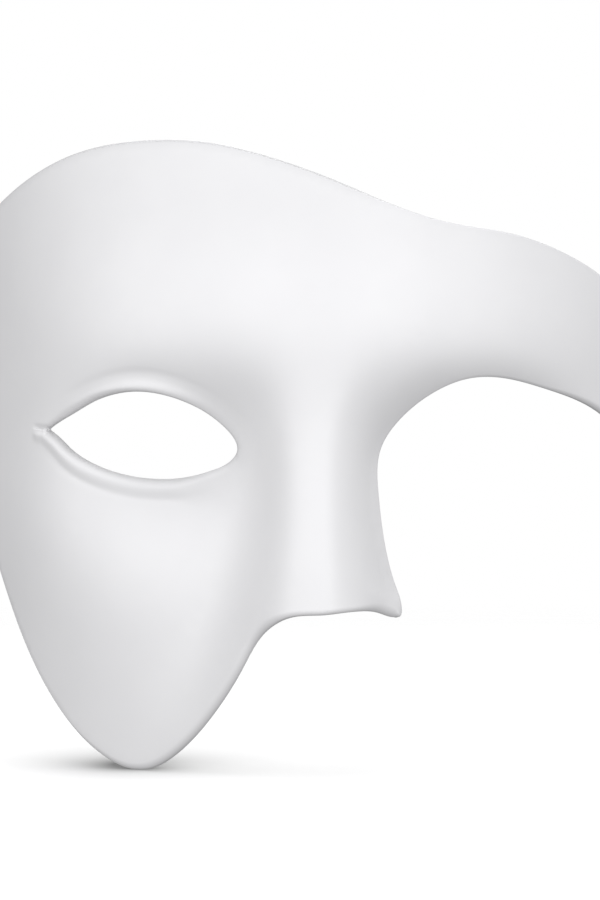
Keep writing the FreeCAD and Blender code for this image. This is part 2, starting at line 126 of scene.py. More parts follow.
# the pointed outer corner is three close points, so the rim can run round it
EYE_CORNER = [(-73.3, -1.6), (-73.9, -2.2), (-73.2, -2.9)]
LOWER_LID = [(-67.5, -7.7), (-59.2, -12.3), (-48.1, -15.2), (-37.3, -15.3), (-28.5, -13.1)]
INNER_CORNER = [(-23.7, -10.6), (-22.1, -8.3)]
UPPER_LID = [(-25.8, -1.4), (-34.3, 4.2), (-47.7, 7.6), (-58.8, 5.7), (-67.4, 1.6)]
LOWER_LID_TIP = (-77.9, -1.7)      # where the lower lid's roll runs out past the corner
# each stretch of the eye opening: how far its rounded rim reaches, and how much shade is painted on the rim
# (painted light where it is below nothing)
EYE_RIMS = [
    (EYE_CORNER[:2], 1.2, 0.04),
    (EYE_CORNER[2:], 1.7, 0.36),
    (LOWER_LID[:1], 1.9, 0.40),
    (LOWER_LID[1:2], 2.2, 0.26),
    (LOWER_LID[2:4], 2.3, 0.15),
    (LOWER_LID[4:], 1.5, 0.03),
    (INNER_CORNER, 0.9, 0.12),
    (UPPER_LID[:2], 1.1, 0.02),
    (UPPER_LID[2:3], 1.3, 0.05),
    (UPPER_LID[3:], 2.4, -0.02),
]
EYE_REACH = 7.5
EYE_RINGS = 15

# rounding of the moulded rims
ROUND_DEPTH = (0.3, 0.55)          # depth of the round: this much plus this share of its reach
ROUND_STEPS = 9
ROOM = 0.7                         # largest reach, as a share of the corner's own radius
INNER_ROUND = 0.35
INNER_STEPS = 4
HOLE_RIM = 0.45
HOLE_POINTS = 32
EDGE_SPACING = (1.0, 0.12)         # along the edge, and how far it may turn
EYE_SPACING = (0.45, 0.06)
# painted shade round the rivet holes
HOLE_PAINTED_SHADE = 0.12
PAINTED_SHADING_SPREAD = 1.1                  # how far the rims' painted shade spreads across the face

# ---- foam pads: name, centre, half sizes, tilt in degrees ----
PADS = [
    ("forehead_pad", (-25.0, 50.0), (36.0, 8.0), -8.0),
    ("brow_pad", (-1.0, 13.5), (16.0, 6.0), 0.0),
    ("cheek_pad", (-49.0, -45.0), (18.0, 12.5), 12.0),
    ("temple_pad_right", (-86.0, -7.0), (5.5, 14.0), 8.0),
    ("temple_pad_left", (63.0, 20.0), (9.0, 7.5), -12.0),
]
PAD_POWER = 2.8
PAD_PULL = 0.25            # how far the sides are pulled in
PAD_BASE = 2.6             # depth of the pads' undersides
PAD_THICKNESS = 5.0
PAD_TOOTH = 1.25           # pitch of the welded teeth round a pad
PAD_TOOTH_POINTS = 5
PAD_PERIMETER = 3.72       # a pad's rough perimeter as a multiple of its half length plus half width
TOOTH_HEIGHT = 0.13
TOOTH_SPAN = (0.2, 1.2)    # distances in from the edge
PUCKER_HEIGHT = 0.10
PUCKER_SPAN = (2.4, 1.1)   # middle, and spread to both sides
# (distance in from the edge, share of the thickness): welded edge, then the crown
PAD_PROFILE = [
    (0.0, 0.04), (0.0, 0.20), (0.25, 0.27), (0.7, 0.28), (1.15, 0.27), (1.45, 0.31), (1.8, 0.42), (2.2, 0.55),
    (2.7, 0.67), (3.3, 0.77), (4.1, 0.86), (5.1, 0.925),
]
PAD_INNER_RINGS = 7

# ---- elastic strap ----
STRAP_WIDTH = 12.0
STRAP_THICKNESS = 1.2
STRAP_Z = 21.0
STRAP_OFF_SHELL = 1.1
STRAP_DEPTH = SHELL_THICKNESS + STRAP_OFF_SHELL + STRAP_THICKNESS / 2.0
TAB_LENGTH = 8.0
LEAVE_LENGTH = 6.0
TURN_RADIUS = 5.0
ANCHOR_X = (-92.0, 81.0)
SLIDER_AT = 52.0
RING_AT = 102.0
RIBS = 10
RIB_DEPTH = 0.10
RIB_STEPS = 5
STRAP_EDGE = 0.6           # rounded edge of the elastic
RIBBON_STEP = 0.8
CUT_LENGTH = 0.5           # heat-cut end: its length, and the share by which it is pressed flat
CUT_PRESS = 0.35

# ---- slider and ring ----
LAYER_GAP = 0.1
FIT_GAP = 0.15
SIDE_GAP = 0.4
RING_WIRE_RADIUS = 1.2
RING_BAR_SPACING = 6.5
RING_CORNER = 1.5
RING_SIDES = 20
RING_JOINT = (0.05, 0.35)  # how much thicker the wire is at its welded joint, and the joint's spread
CENTRE_BAR = (2.4, 1.1)    # along the strap, through it
OUTER_BAR = (2.2, 1.5)
SLIDER_HALF_LENGTH = 7.5
SLIDER_RAIL = 2.0
SLIDER_CORNER = 1.4        # bevels of the corners and of all edges
SLIDER_EDGE = 0.32
LOOP_REACH = 14.5
LOOP_TURN_IN = 0.3         # the loop's turn starts this far before the bar's edge
LOOP_BEND_RADIUS = 3.0
LOOP_SEWN_LENGTH = 8.0
SHORT_BEND_RADIUS = 4.0
SHORT_SEWN_LENGTH = 9.0

# ---- stitches ----
THREAD_RADIUS = 0.15
STITCH_LENGTH = 1.7
STITCH_PITCH = 2.2
STITCH_ROWS = (-4.4, 4.4)
STITCHES_PER_ROW = 3
STITCH_STEPS = 17
THREAD_SIDES = 8
THREAD_RIDE = 1.1          # of the thread's radius, how high its middle rides over the elastic
THREAD_DIP = 0.62          # how far it dips at a stitch's ends
LOOP_SEAM_IN = 0.8         # from a sewn length's end to its first stitch
SHORT_SEAM_IN = 1.2
PLY_OFFSET = 0.8           # of the thread's radius, from its middle to each ply's middle
PLY_TURNS = 2.5            # turns of the two plies in one stitch

# ---- rivets ----
RIVET_HOLE_RADIUS = 1.6
SHANK_RADIUS = 1.5
CAP_RADIUS = 4.0
CAP_THICKNESS = 0.7
CAP_DOME = 0.9
CAP_GAP = 0.35
CAP_EDGE = 0.35
THROAT_RADIUS = 1.0
THROAT_FLOOR = 2.6
WASHER_RADIUS = 4.2
WASHER_THICKNESS = 0.5
WASHER_SOFT = 0.14
BURR_RADIUS = 2.5
BURR_THICKNESS = 0.7
BURR_DEPTH = STRAP_DEPTH + STRAP_THICKNESS / 2.0 + WASHER_THICKNESS + 2.0 * LAYER_GAP
LATHE_STEPS = 72

# eyelid rolls: height of the roll, then distances out from the opening's edge
LOWER_LIFT = 0.56
LOWER_ROLL = (0.0, 2.5, 5.8)       # edge, crest and foot
LOWER_CREST_ENDS = (-0.3, -0.3)    # how the crest's and the foot's distances change at the roll's
LOWER_FOOT_ENDS = (-0.3, 0.9)      # outer and inner ends, as shares
LOWER_OUTER = (-79.0, -62.0)       # x over which the roll comes out of its outer end,
LOWER_INNER = (-42.0, -26.0)       # and goes into its inner end
TIP_FADE = (LOWER_LID_TIP[0], -76.0)
INNER_FADE = (-32.0, -21.0)
OUTER_EDGE = 0.7                   # how far from the opening the roll starts at its outer end
LOWER_CREASE = (0.10, 5.4, 1.2)
CORNER_GROOVE = 0.45               # depth of the fold above the roll, past the corner
GROOVE_SPAN = (-1.5, 0.5)
GROOVE_FADE = (-74.0, -71.5)
UPPER_LIFT = 1.25
UPPER_CREST = 1.2
UPPER_WIDTH = 1.7
UPPER_RUN = (-47.0, 16.0)          # x of its highest place, and how far it runs to both sides
UPPER_FADE = (-73.0, -64.0)
UPPER_CREASE = (0.18, 5.2, 1.2)
EYE_AREA = (-88.0, -12.0, -28.0, 22.0)     # least and greatest x, least and greatest z of the eyelids
CURL_AREA = (4.0, 84.0, -56.0, 24.0)


# ---------- the face, on arrays ----------

def unit(rows):
    return rows / np.linalg.norm(rows, axis=-1, keepdims=True)


def past(ring):
    """The way past each point of a closed ring, from the point before it to the point after it."""
    return np.roll(ring, -1, axis=0) - np.roll(ring, 1, axis=0)


def circle(count):
    return np.arange(count) * 2.0 * math.pi / count


def ramp(distance, softness):
    return softness * np.logaddexp(0.0, distance / softness)


def hump(value, centre, spread):
    return np.exp(-(((value - centre) / spread) ** 2))


def both_sides(x, centre, spread):
    return hump(x, centre, spread) + hump(x, -centre, spread)


def socket(x, z, centre):
    reach = ((x - centre) / SOCKET_SPREAD[0]) ** 2 + ((z - SOCKET_AT[1]) / SOCKET_SPREAD[1]) ** 2
    return np.exp(-(reach ** SOCKET_POWER))


def nose(x, z):
    drop = ramp(NOSE_START - z, NOSE_SOFTNESS)
    height = NOSE_SLOPE * drop - NOSE_EASE * drop ** 2
    half_width = NOSE_HALF_WIDTH + NOSE_FLARE * drop ** 2
    return height * np.exp(-((((x - NOSE_CENTRE) / half_width) ** 2) ** NOSE_POWER))


def relief(x, z):
    curl = CURL_DEPTH * (np.cosh(x / CURL_RUN) - 1.0)
    forehead = FALL_BEND * ramp(z - FOREHEAD_START, FALL_SOFTNESS) ** 2
    cheek_fall = FALL_BEND * ramp(CHEEK_FALL_START - z, FALL_SOFTNESS) ** 2
    brow = BROW_LIFT * hump(z, BROW_AT[1], BROW_SPREAD[1]) * both_sides(x, BROW_AT[0], BROW_SPREAD[0])
    sockets = SOCKET_DEPTH * (socket(x, z, SOCKET_AT[0]) + socket(x, z, -SOCKET_AT[0]))
    cheek = CHEEK_LIFT * hump(z, CHEEK_AT[1], CHEEK_SPREAD[1]) * both_sides(x, CHEEK_AT[0], CHEEK_SPREAD[0])
    return curl + forehead + cheek_fall + sockets - brow - cheek - nose(x, z)


SET_BACK = -SHELL_THICKNESS - relief(0.0, 0.0)


def face_y(x, z):
    return relief(x, z) + SET_BACK


def face_normal(x, z):
    """Outward unit normals of the outer face."""
    step = 0.05
    slope_x = (relief(x + step, z) - relief(x - step, z)) / (2.0 * step)
    slope_z = (relief(x, z + step) - relief(x, z - step)) / (2.0 * step)
    return unit(np.stack([slope_x, -np.ones_like(slope_x), slope_z], axis=-1))


def face_point(x, z, depth):
    x = np.asarray(x, float)
    z = np.asarray(z, float)
    base = np.stack([x, face_y(x, z), z], axis=-1)
    return base - face_normal(x, z) * np.asarray(depth, float)[..., None]


def on_face(places):
    return face_point(places[:, 0], places[:, 1], 0.0)


CURL_X = np.linspace(-112.0, 108.0, 2201)
CURL_SLOPE = CURL_DEPTH / CURL_RUN * np.sinh(CURL_X / CURL_RUN)
CURL_LENGTH = np.concatenate([[0.0], np.cumsum(np.hypot(np.diff(CURL_X), np.diff(CURL_X) * CURL_SLOPE[1:]))])


def unrolled(x):
    """Distance round the face's curl, so that steep temples aren't stretched."""
    return np.interp(x, CURL_X, CURL_LENGTH)


def rolled(s):
    return np.interp(s, CURL_LENGTH, CURL_X)


# ---------- smooth closed curves ----------

class ClosedCurve:
    """Smooth closed cubic curve through points, spaced by their distances apart."""

    def __init__(self, points):
        self.points = np.array(points, float)
        count = len(self.points)
        after = np.roll(self.points, -1, axis=0)
        self.spans = np.linalg.norm(after - self.points, axis=1)
        self.knots = np.concatenate([[0.0], np.cumsum(self.spans)])
        before = np.roll(self.spans, 1)
        system = np.zeros((count, count))
        for i in range(count):
            system[i, i - 1] += before[i]
            system[i, i] += 2.0 * (before[i] + self.spans[i])
            system[i, (i + 1) % count] += self.spans[i]
        slopes = (after - self.points) / self.spans[:, None]
        self.bends = np.linalg.solve(system, 6.0 * (slopes - np.roll(slopes, 1, axis=0)))

    def at(self, places):
        places = np.mod(places, self.knots[-1])
        i = np.clip(np.searchsorted(self.knots, places, side="right") - 1, 0, len(self.spans) - 1)
        j = (i + 1) % len(self.spans)
        span = self.spans[i][:, None]
        t = (places - self.knots[i])[:, None]
        rest = span - t
        bent = (self.bends[i] * rest ** 3 + self.bends[j] * t ** 3) / (6.0 * span)
        straight = (self.points[i] / span - self.bends[i] * span / 6.0) * rest
        return bent + straight + (self.points[j] / span - self.bends[j] * span / 6.0) * t

    def evenly(self, spacing, turn_spacing):
        """Places spaced along the face, closer together where the curve turns."""
        places = np.linspace(0.0, self.knots[-1], 6001)
        steps = np.diff(on_face(self.at(places)), axis=0)
        lengths = np.linalg.norm(steps, axis=1)
        ways = steps / lengths[:, None]
        turns = np.linalg.norm(ways - np.roll(ways, 1, axis=0), axis=1)
        effort = np.concatenate([[0.0], np.cumsum(lengths / spacing + turns / turn_spacing)])
        count = int(effort[-1])
        return np.interp(np.arange(count) * effort[-1] / count, effort, places)

    def blend(self, values, places):
        """Values given at the curve's own points, blended along it."""
        return np.interp(places, self.knots, np.append(values, values[0]))


def joined(stretches):
    """All points of the stretches as one curve, and a row of values for each point."""
    points = [point for stretch, *values in stretches for point in stretch]
    return ClosedCurve(points), np.array([values for stretch, *values in stretches for point in stretch])


def smoothed(values, passes):
    for _ in range(passes):
        values = (np.roll(values, 1) + np.roll(values, -1) + 2.0 * values) / 4.0
    return values


def inward_steps(ring, material_side):
    """(x, z) step that moves 1 mm along the face from a closed edge into the material."""
    across = np.cross(unit(past(on_face(ring))), face_normal(ring[:, 0], ring[:, 1])) * material_side
    return across[:, [0, 2]]


def room_for_round(ring, steps, wanted):
    """The wanted reach, cut down to fit inside each tight outward corner."""
    solid = on_face(ring)
    ahead = np.roll(solid, -2, axis=0) - solid
    behind = solid - np.roll(solid, 2, axis=0)
    run = 0.5 * (np.linalg.norm(ahead, axis=1) + np.linalg.norm(behind, axis=1))
    turn = (unit(ahead) - unit(behind)) / run[:, None]
    inward = np.stack([steps[:, 0], np.zeros(len(ring)), steps[:, 1]], axis=1)
    curvature = np.maximum((turn * inward).sum(axis=1), 1e-6)
    reach = np.minimum(wanted, ROOM / curvature)
    for _ in range(12):
        reach = np.minimum(reach, smoothed(reach, 1))
    return reach


def flush(ring, steps, profile, lift):
    """Moves a rounded edge until it covers as much, seen from the front, as a square-cut edge."""
    ahead = unit(past(ring))
    out = np.stack([ahead[:, 1], -ahead[:, 0]], axis=1)
    out *= -np.sign((steps * out).sum(axis=1))[:, None]
    run = -(steps * out).sum(axis=1)
    lean = (face_normal(ring[:, 0], ring[:, 1])[:, [0, 2]] * out).sum(axis=1)
    square = np.maximum(0.0, -SHELL_THICKNESS * lean)
    cover = [-reach * run - (depth - carried(lift, depth)) * lean for reach, depth in profile]
    rounded = np.max(cover, axis=0)
    return ring - steps * smoothed((square - rounded) / run, 3)[:, None]


def carried(lift, depth):
    """The inner face follows the outer face's eyelid rolls, though less far."""
    return lift * (1.0 - 0.4 * depth / SHELL_THICKNESS)


def inside(points, polygon):
    """Which points lie inside a closed polygon."""
    x, y = points[:, 0][:, None], points[:, 1][:, None]
    x0, y0 = polygon[:, 0], polygon[:, 1]
    x1, y1 = np.roll(x0, -1), np.roll(y0, -1)
    crosses = (y0 > y) != (y1 > y)
    slope = np.where(y1 == y0, 1.0, y1 - y0)
    return (crosses & (x < (x1 - x0) * (y - y0) / slope + x0)).sum(axis=1) % 2 == 1


def flattened(places):
    return np.stack([unrolled(places[:, 0]), places[:, 1]], axis=1)


def in_material(points, flats):
    """Inside the first closed line and outside all the others."""
    kept = inside(points, flats[0])
    for hole in flats[1:]:
        kept &= ~inside(points, hole)
    return kept


# ---------- eyelids ----------

def nearest_on_line(points, line):
    """Signed distance to an open line (positive to its left), the nearest place and its number along it."""
    starts, ends = line[:-1], line[1:]
    spans = ends - starts
    lengths = (spans ** 2).sum(axis=1)
    gaps = points[:, None, :] - starts[None]
    shares = np.clip((gaps * spans[None]).sum(axis=2) / lengths, 0.0, 1.0)
    feet = starts[None] + shares[..., None] * spans[None]
    distances = np.linalg.norm(points[:, None, :] - feet, axis=2)
    best = distances.argmin(axis=1)
    rows = np.arange(len(points))
    gap = points - feet[rows, best]
    way = spans[best]
    side = np.sign(way[:, 0] * gap[:, 1] - way[:, 1] * gap[:, 0])
    share = shares[rows, best]
    distance = distances[rows, best] * np.where(side == 0, 1.0, side)
    return distance, starts[best] + share[:, None] * way, best + share


def smooth_between(value, low, high):
    t = np.clip((value - low) / (high - low), 0.0, 1.0)
    return t * t * (3.0 - 2.0 * t)


def lower_lid(distance, along):
    """Broad roll under the opening; past the corner a fold separates it from the skin above."""
    to_outer = 1.0 - smooth_between(along, *LOWER_OUTER)
    to_inner = smooth_between(along, *LOWER_INNER)
    edge, crest, foot = LOWER_ROLL
    edge = edge + OUTER_EDGE * to_outer
    crest = crest * (1.0 + LOWER_CREST_ENDS[0] * to_outer + LOWER_CREST_ENDS[1] * to_inner)
    foot = foot * (1.0 + LOWER_FOOT_ENDS[0] * to_outer + LOWER_FOOT_ENDS[1] * to_inner)
    roll = smooth_between(distance, edge, crest) - smooth_between(distance, crest, foot)
    crease = LOWER_CREASE[0] * hump(distance, *LOWER_CREASE[1:]) * (1.0 - to_outer) * (1.0 - to_inner)
    lift = LOWER_LIFT * roll - crease
    at_tip = smooth_between(along, *TIP_FADE)
    lift *= at_tip * (1.0 - 0.9 * smooth_between(along, *INNER_FADE))
    lift *= 1.0 - 0.35 * to_outer
    fold = smooth_between(distance, GROOVE_SPAN[0], 0.0) - smooth_between(distance, 0.0, GROOVE_SPAN[1])
    return lift - CORNER_GROOVE * at_tip * (1.0 - smooth_between(along, *GROOVE_FADE)) * fold


def upper_lid(distance, along):
    """Raised band over the opening, highest beside the edge, with a crease above it."""
    falling = np.exp(-((np.maximum(distance - UPPER_CREST, 0.0) / UPPER_WIDTH) ** 2))
    near_edge = 1.0 - 0.18 * np.clip((UPPER_CREST - distance) / UPPER_CREST, 0.0, 1.0) ** 2
    behind = np.exp(-((np.minimum(distance, 0.0) / 0.55) ** 2))
    lift = UPPER_LIFT * falling * near_edge * behind
    lift -= UPPER_CREASE[0] * hump(distance, *UPPER_CREASE[1:])
    return lift * hump(along, *UPPER_RUN) * smooth_between(along, *UPPER_FADE)


def lid_lift(spots):
    """How far the eyelid rolls stand out of the face."""
    curve, values = joined(EYE_RIMS)
    edge = curve.at(curve.evenly(1.0, 0.2))
    edge = np.roll(edge, -edge[:, 0].argmin(), axis=0)
    inner = edge[:, 0].argmax()
    lower = flattened(np.concatenate([[LOWER_LID_TIP], edge[:inner + 1]]))
    upper = flattened(np.concatenate([edge[inner:], edge[:1]]))
    low_distance, low_place, _ = nearest_on_line(spots, lower)
    top_distance, top_place, _ = nearest_on_line(spots, upper)
    lower_lift = lower_lid(-low_distance, rolled(low_place[:, 0]))
    return lower_lift + upper_lid(-top_distance, rolled(top_place[:, 0]))


def curl(spots):
    """Depth of the curl beside the nose's side and the arch over the uncovered eye, and the shade painted on
    it.
    """
    curve, values = joined(RIMS)
    places = curve.evenly(1.5, 0.2)
    depths = smoothed(curve.blend(values[:, 2], places), 4)
    painted_shading_values = smoothed(curve.blend(values[:, 3], places), 4)
    curled = np.flatnonzero(depths > 0.0)
    distance, place, number = nearest_on_line(spots, flattened(curve.at(places[curled])))
    fade = np.clip(1.0 - np.abs(distance) / CURL_REACH, 0.0, 1.0) ** 2
    every = np.arange(len(curled))
    return np.interp(number, every, depths[curled]) * fade, np.interp(number, every, painted_shading_values[curled]) * fade


def mouldings(x, z):
    """How far the moulded details stand out of the face, and how much shade is painted on the curl."""
    lift = np.zeros(len(x))
    painted_shading = np.zeros(len(x))
    spots = flattened(np.stack([x, z], axis=1))
    by_eye = within(x, z, EYE_AREA)
    if by_eye.any():
        lift[by_eye] = lid_lift(spots[by_eye])
    by_curl = within(x, z, CURL_AREA)
    if by_curl.any():
        depth, painted_shading[by_curl] = curl(spots[by_curl])
        lift[by_curl] -= depth
    return lift, painted_shading


def within(x, z, area):
    return (x > area[0]) & (x < area[1]) & (z > area[2]) & (z < area[3])


# ---------- mesh helpers ----------

def new_object(name, points, faces, smooth=True):
    mesh = bpy.data.meshes.new(name)
    mesh.from_pydata([tuple(p) for p in np.asarray(points, float) * MM], [], faces)
    mesh.validate()
    mesh.update()
    if smooth:
        mesh.shade_smooth()
    made = bpy.data.objects.new(name, mesh)
    bpy.context.scene.collection.objects.link(made)
    return made


def band(first, second):
    """Quads between two closed rings of vertex numbers."""
    count = len(first)
    return [(first[i], first[(i + 1) % count], second[(i + 1) % count], second[i]) for i in range(count)]


def flipped(faces):
    return [tuple(reversed(face)) for face in faces]


def skin(first, rings, around, closed=False, capped=True):
    """Faces over successive rings of points, numbered from first."""
    loops = [range(first + r * around, first + (r + 1) * around) for r in range(rings)]
    faces = []
    for one, other in zip(loops, loops[1:] + (loops[:1] if closed else [])):
        faces += band(one, other)
    if capped and not closed:
        faces += [tuple(reversed(loops[0])), tuple(loops[-1])]
    return faces


# ---------- shell ----------

def rim_profile(reach):
    """(reach, depth) arrays from the outer face round the edge to the inner face."""
    round_depth = ROUND_DEPTH[0] + ROUND_DEPTH[1] * reach
    profile = []
    for i in range(ROUND_STEPS + 1):
        angle = 0.5 * math.pi * i / ROUND_STEPS
        profile.append((reach * (1.0 - math.sin(angle)), round_depth * (1.0 - math.cos(angle))))
    for i in range(INNER_STEPS + 1):
        angle = 0.5 * math.pi * i / INNER_STEPS
        back = INNER_ROUND * (1.0 - math.cos(angle))
        depth = SHELL_THICKNESS - INNER_ROUND * (1.0 - math.sin(angle))
        profile.append((np.full(len(reach), back), np.full(len(reach), depth)))
    return profile


class ShellMesh:
    """The shell's outer and inner faces and its rounded edges, as one mesh."""

    def __init__(self):
        self.rows = []             # places, depths and painted shading of the points
        self.count = 0
        self.faces = []

    def add(self, places, depths, painted_shading_values):
        self.rows.append((places, depths, painted_shading_values))
        self.count += len(places)
        return np.arange(self.count - len(places), self.count)

    def cover(self, pairs):
        """A face through pairs of front and back points, and the face behind it."""
        self.faces.append(tuple(front for front, back in pairs))
        self.faces.append(tuple(back for front, back in reversed(pairs)))

    def edge_rings(self, ring, reach, painted_shading, material_side, beyond=0):
        """Rounded edge and the rings beside it; returns the last ring's places and its pairs of points."""
        steps = inward_steps(ring, material_side)
        reach = room_for_round(ring, steps, reach)
        profile = rim_profile(reach)
        ring = flush(ring, steps, profile, mouldings(ring[:, 0], ring[:, 1])[0])
        front = np.zeros(len(ring))
        back = np.full(len(ring), SHELL_THICKNESS)

        def ring_at(distance, depth):
            # shade painted on the rim (light where it is below nothing), fading across the face
            shade = painted_shading * np.exp(-((distance / PAINTED_SHADING_SPREAD) ** 2))
            return self.add(ring + steps * distance[:, None], depth, shade)

        loops = [ring_at(distance, depth) for distance, depth in profile]
        for share in (1.0 / 3.0, 2.0 / 3.0, 1.0):
            loops.append(ring_at(INNER_ROUND + (reach - INNER_ROUND) * share, back))
        last = reach
        for i in range(beyond):
            last = reach + (EYE_REACH - reach) * ((i + 1.0) / beyond)
            loops.append(ring_at(last, back))
            loops.insert(0, ring_at(last, front))
        for first, second in zip(loops, loops[1:]):
            quads = band(first, second)
            self.faces += quads if material_side > 0 else flipped(quads)
        return ring + steps * last[:, None], list(zip(loops[0], loops[-1]))

    def fill(self, edges):
        """Grid of quads inside, with triangles between it and the edge rings."""
        flats = [flattened(places) for places, pairs in edges]
        low = flats[0].min(axis=0)
        high = flats[0].max(axis=0)
        grid = np.stack(np.meshgrid(*map(np.arange, low, high, [GRID_STEP] * 2), indexing="ij"), axis=-1)
        spots = grid.reshape(-1, 2)
        good = in_material(spots, flats)
        rim_points = np.concatenate(flats)
        for chunk in np.array_split(np.flatnonzero(good), 40):
            gaps = np.linalg.norm(spots[chunk][:, None] - rim_points[None], axis=2).min(axis=1)
            good[chunk[gaps < 0.8 * GRID_STEP]] = False
        good = good.reshape(grid.shape[:2])
        cells = good[:-1, :-1] & good[1:, :-1] & good[1:, 1:] & good[:-1, 1:]
        used = np.zeros(good.shape, bool)
        for i, j in CELL_CORNERS:
            used[i:i + cells.shape[0], j:j + cells.shape[1]] |= cells
        places = np.stack([rolled(grid[used][:, 0]), grid[used][:, 1]], axis=1)
        plain = np.zeros(len(places))
        both = zip(self.add(places, plain, plain), self.add(places, plain + SHELL_THICKNESS, plain))
        pair_at = dict(zip(zip(*np.nonzero(used)), both))
        border = {}
        for i, j in zip(*np.nonzero(cells)):
            corners = [(i + a, j + b) for a, b in CELL_CORNERS]
            self.cover([pair_at[corner] for corner in corners])
            border.update((link, True) for link in zip(corners, corners[1:] + corners[:1]))

        points, links, pairs, numbers = [], [], [], {}
        for flat, (_, ring_pairs) in zip(flats, edges):
            links += [(len(points) + i, len(points) + (i + 1) % len(flat)) for i in range(len(flat))]
            points += [Vector(p) for p in flat]
            pairs += ring_pairs
        for link in border:
            if link[::-1] not in border:
                for corner in link:
                    if corner not in numbers:
                        numbers[corner] = len(points)
                        points.append(Vector(grid[corner]))
                        pairs.append(pair_at[corner])
                links.append((numbers[link[0]], numbers[link[1]]))
        verts, _, triangles, origins, *_ = delaunay_2d_cdt(points, links, [], 0, 1e-7)
        centres = np.array([np.mean([verts[v] for v in triangle], axis=0) for triangle in triangles])
        cell = np.floor((centres - low) / GRID_STEP).astype(int)
        within = ((cell >= 0) & (cell < cells.shape)).all(axis=1)
        on_grid = np.zeros(len(centres), bool)
        on_grid[within] = cells[tuple(cell[within].T)]
        for triangle, wanted in zip(triangles, in_material(centres, flats) & ~on_grid):
            if wanted:
                self.cover([pairs[origins[v][0]] for v in triangle])

    def build(self):
        places, depths, painted_shading_values = (np.concatenate(values) for values in zip(*self.rows))
        lift, curl_painted_shade = mouldings(places[:, 0], places[:, 1])
        points = face_point(places[:, 0], places[:, 1], depths - carried(lift, depths))
        made = new_object("mask_shell_skin", points, [tuple(int(v) for v in f) for f in self.faces])
        # painted shade along the rims and the curl, and painted light where it is below nothing, for the
        # shell's material
        painted_shading_layer = made.data.attributes.new("painted_edge_shading", "FLOAT", "POINT")
        painted_shading_layer.data.foreach_set("value", painted_shading_values + curl_painted_shade)
        return made


def back_side(shell):
    """1 for the faces that lie behind the middle of the shell's thickness, 0 for the rest."""
    centres, normals = np.zeros((2, len(shell.data.polygons) * 3))
    shell.data.polygons.foreach_get("center", centres)
    shell.data.polygons.foreach_get("normal", normals)
    centres = centres.reshape(-1, 3) / MM
    outward = face_normal(centres[:, 0], centres[:, 2])
    return ((normals.reshape(-1, 3) * outward).sum(axis=1) < -0.3).astype(int)


def rivet_hole(x):
    """Ring round a rivet hole, with each of its points' reach and painted shade."""
    around = unrolled(x) + RIVET_HOLE_RADIUS * np.cos(circle(HOLE_POINTS))
    ring = np.stack([rolled(around), STRAP_Z + RIVET_HOLE_RADIUS * np.sin(circle(HOLE_POINTS))], axis=1)
    return ring, np.full(HOLE_POINTS, HOLE_RIM), np.full(HOLE_POINTS, HOLE_PAINTED_SHADE)


def rim_ring(stretches, spacing, turn_spacing):
    """Ring along the stretches, with each of its points' reach and painted shade (painted light where it is
    below nothing).
    """
    curve, values = joined(stretches)
    places = curve.evenly(spacing, turn_spacing)
    reach, painted_shading = (smoothed(curve.blend(values[:, i], places), 10) for i in (0, 1))
    return curve.at(places), reach, painted_shading


def make_shell():
    mesh = ShellMesh()
    outline = mesh.edge_rings(*rim_ring(RIMS, *EDGE_SPACING), -1.0)
    eye = mesh.edge_rings(*rim_ring(EYE_RIMS, *EYE_SPACING), 1.0, EYE_RINGS)
    mesh.fill([outline, eye] + [mesh.edge_rings(*rivet_hole(x), 1.0) for x in ANCHOR_X])
    return mesh.build()


# ---------- foam pads ----------

def pad_outline(half_sizes, count):
    """Rounded rectangle, evenly spaced, with sides pulled in slightly between its corners."""
    angles = np.linspace(0.0, 2.0 * math.pi, 4001)[:-1]
    c, s = np.cos(angles), np.sin(angles)
    across = np.sign(c) * np.abs(c) ** (2.0 / PAD_POWER) * half_sizes[0]
    up = np.sign(s) * np.abs(s) ** (2.0 / PAD_POWER) * half_sizes[1]
    pull = PAD_PULL * np.cos(4.0 * angles) ** 2 * (np.cos(4.0 * angles) > 0.0)
    shrink = 1.0 - pull / np.hypot(across, up)
    line = np.stack([across * shrink, up * shrink], axis=1)
    gaps = np.linalg.norm(np.roll(line, -1, axis=0) - line, axis=1)
    reach = np.concatenate([[0.0], np.cumsum(gaps)])
    closed = np.concatenate([line, line[:1]])
    wanted = np.arange(count) * reach[-1] / count
    return np.stack([np.interp(wanted, reach, closed[:, i]) for i in (0, 1)], axis=1)


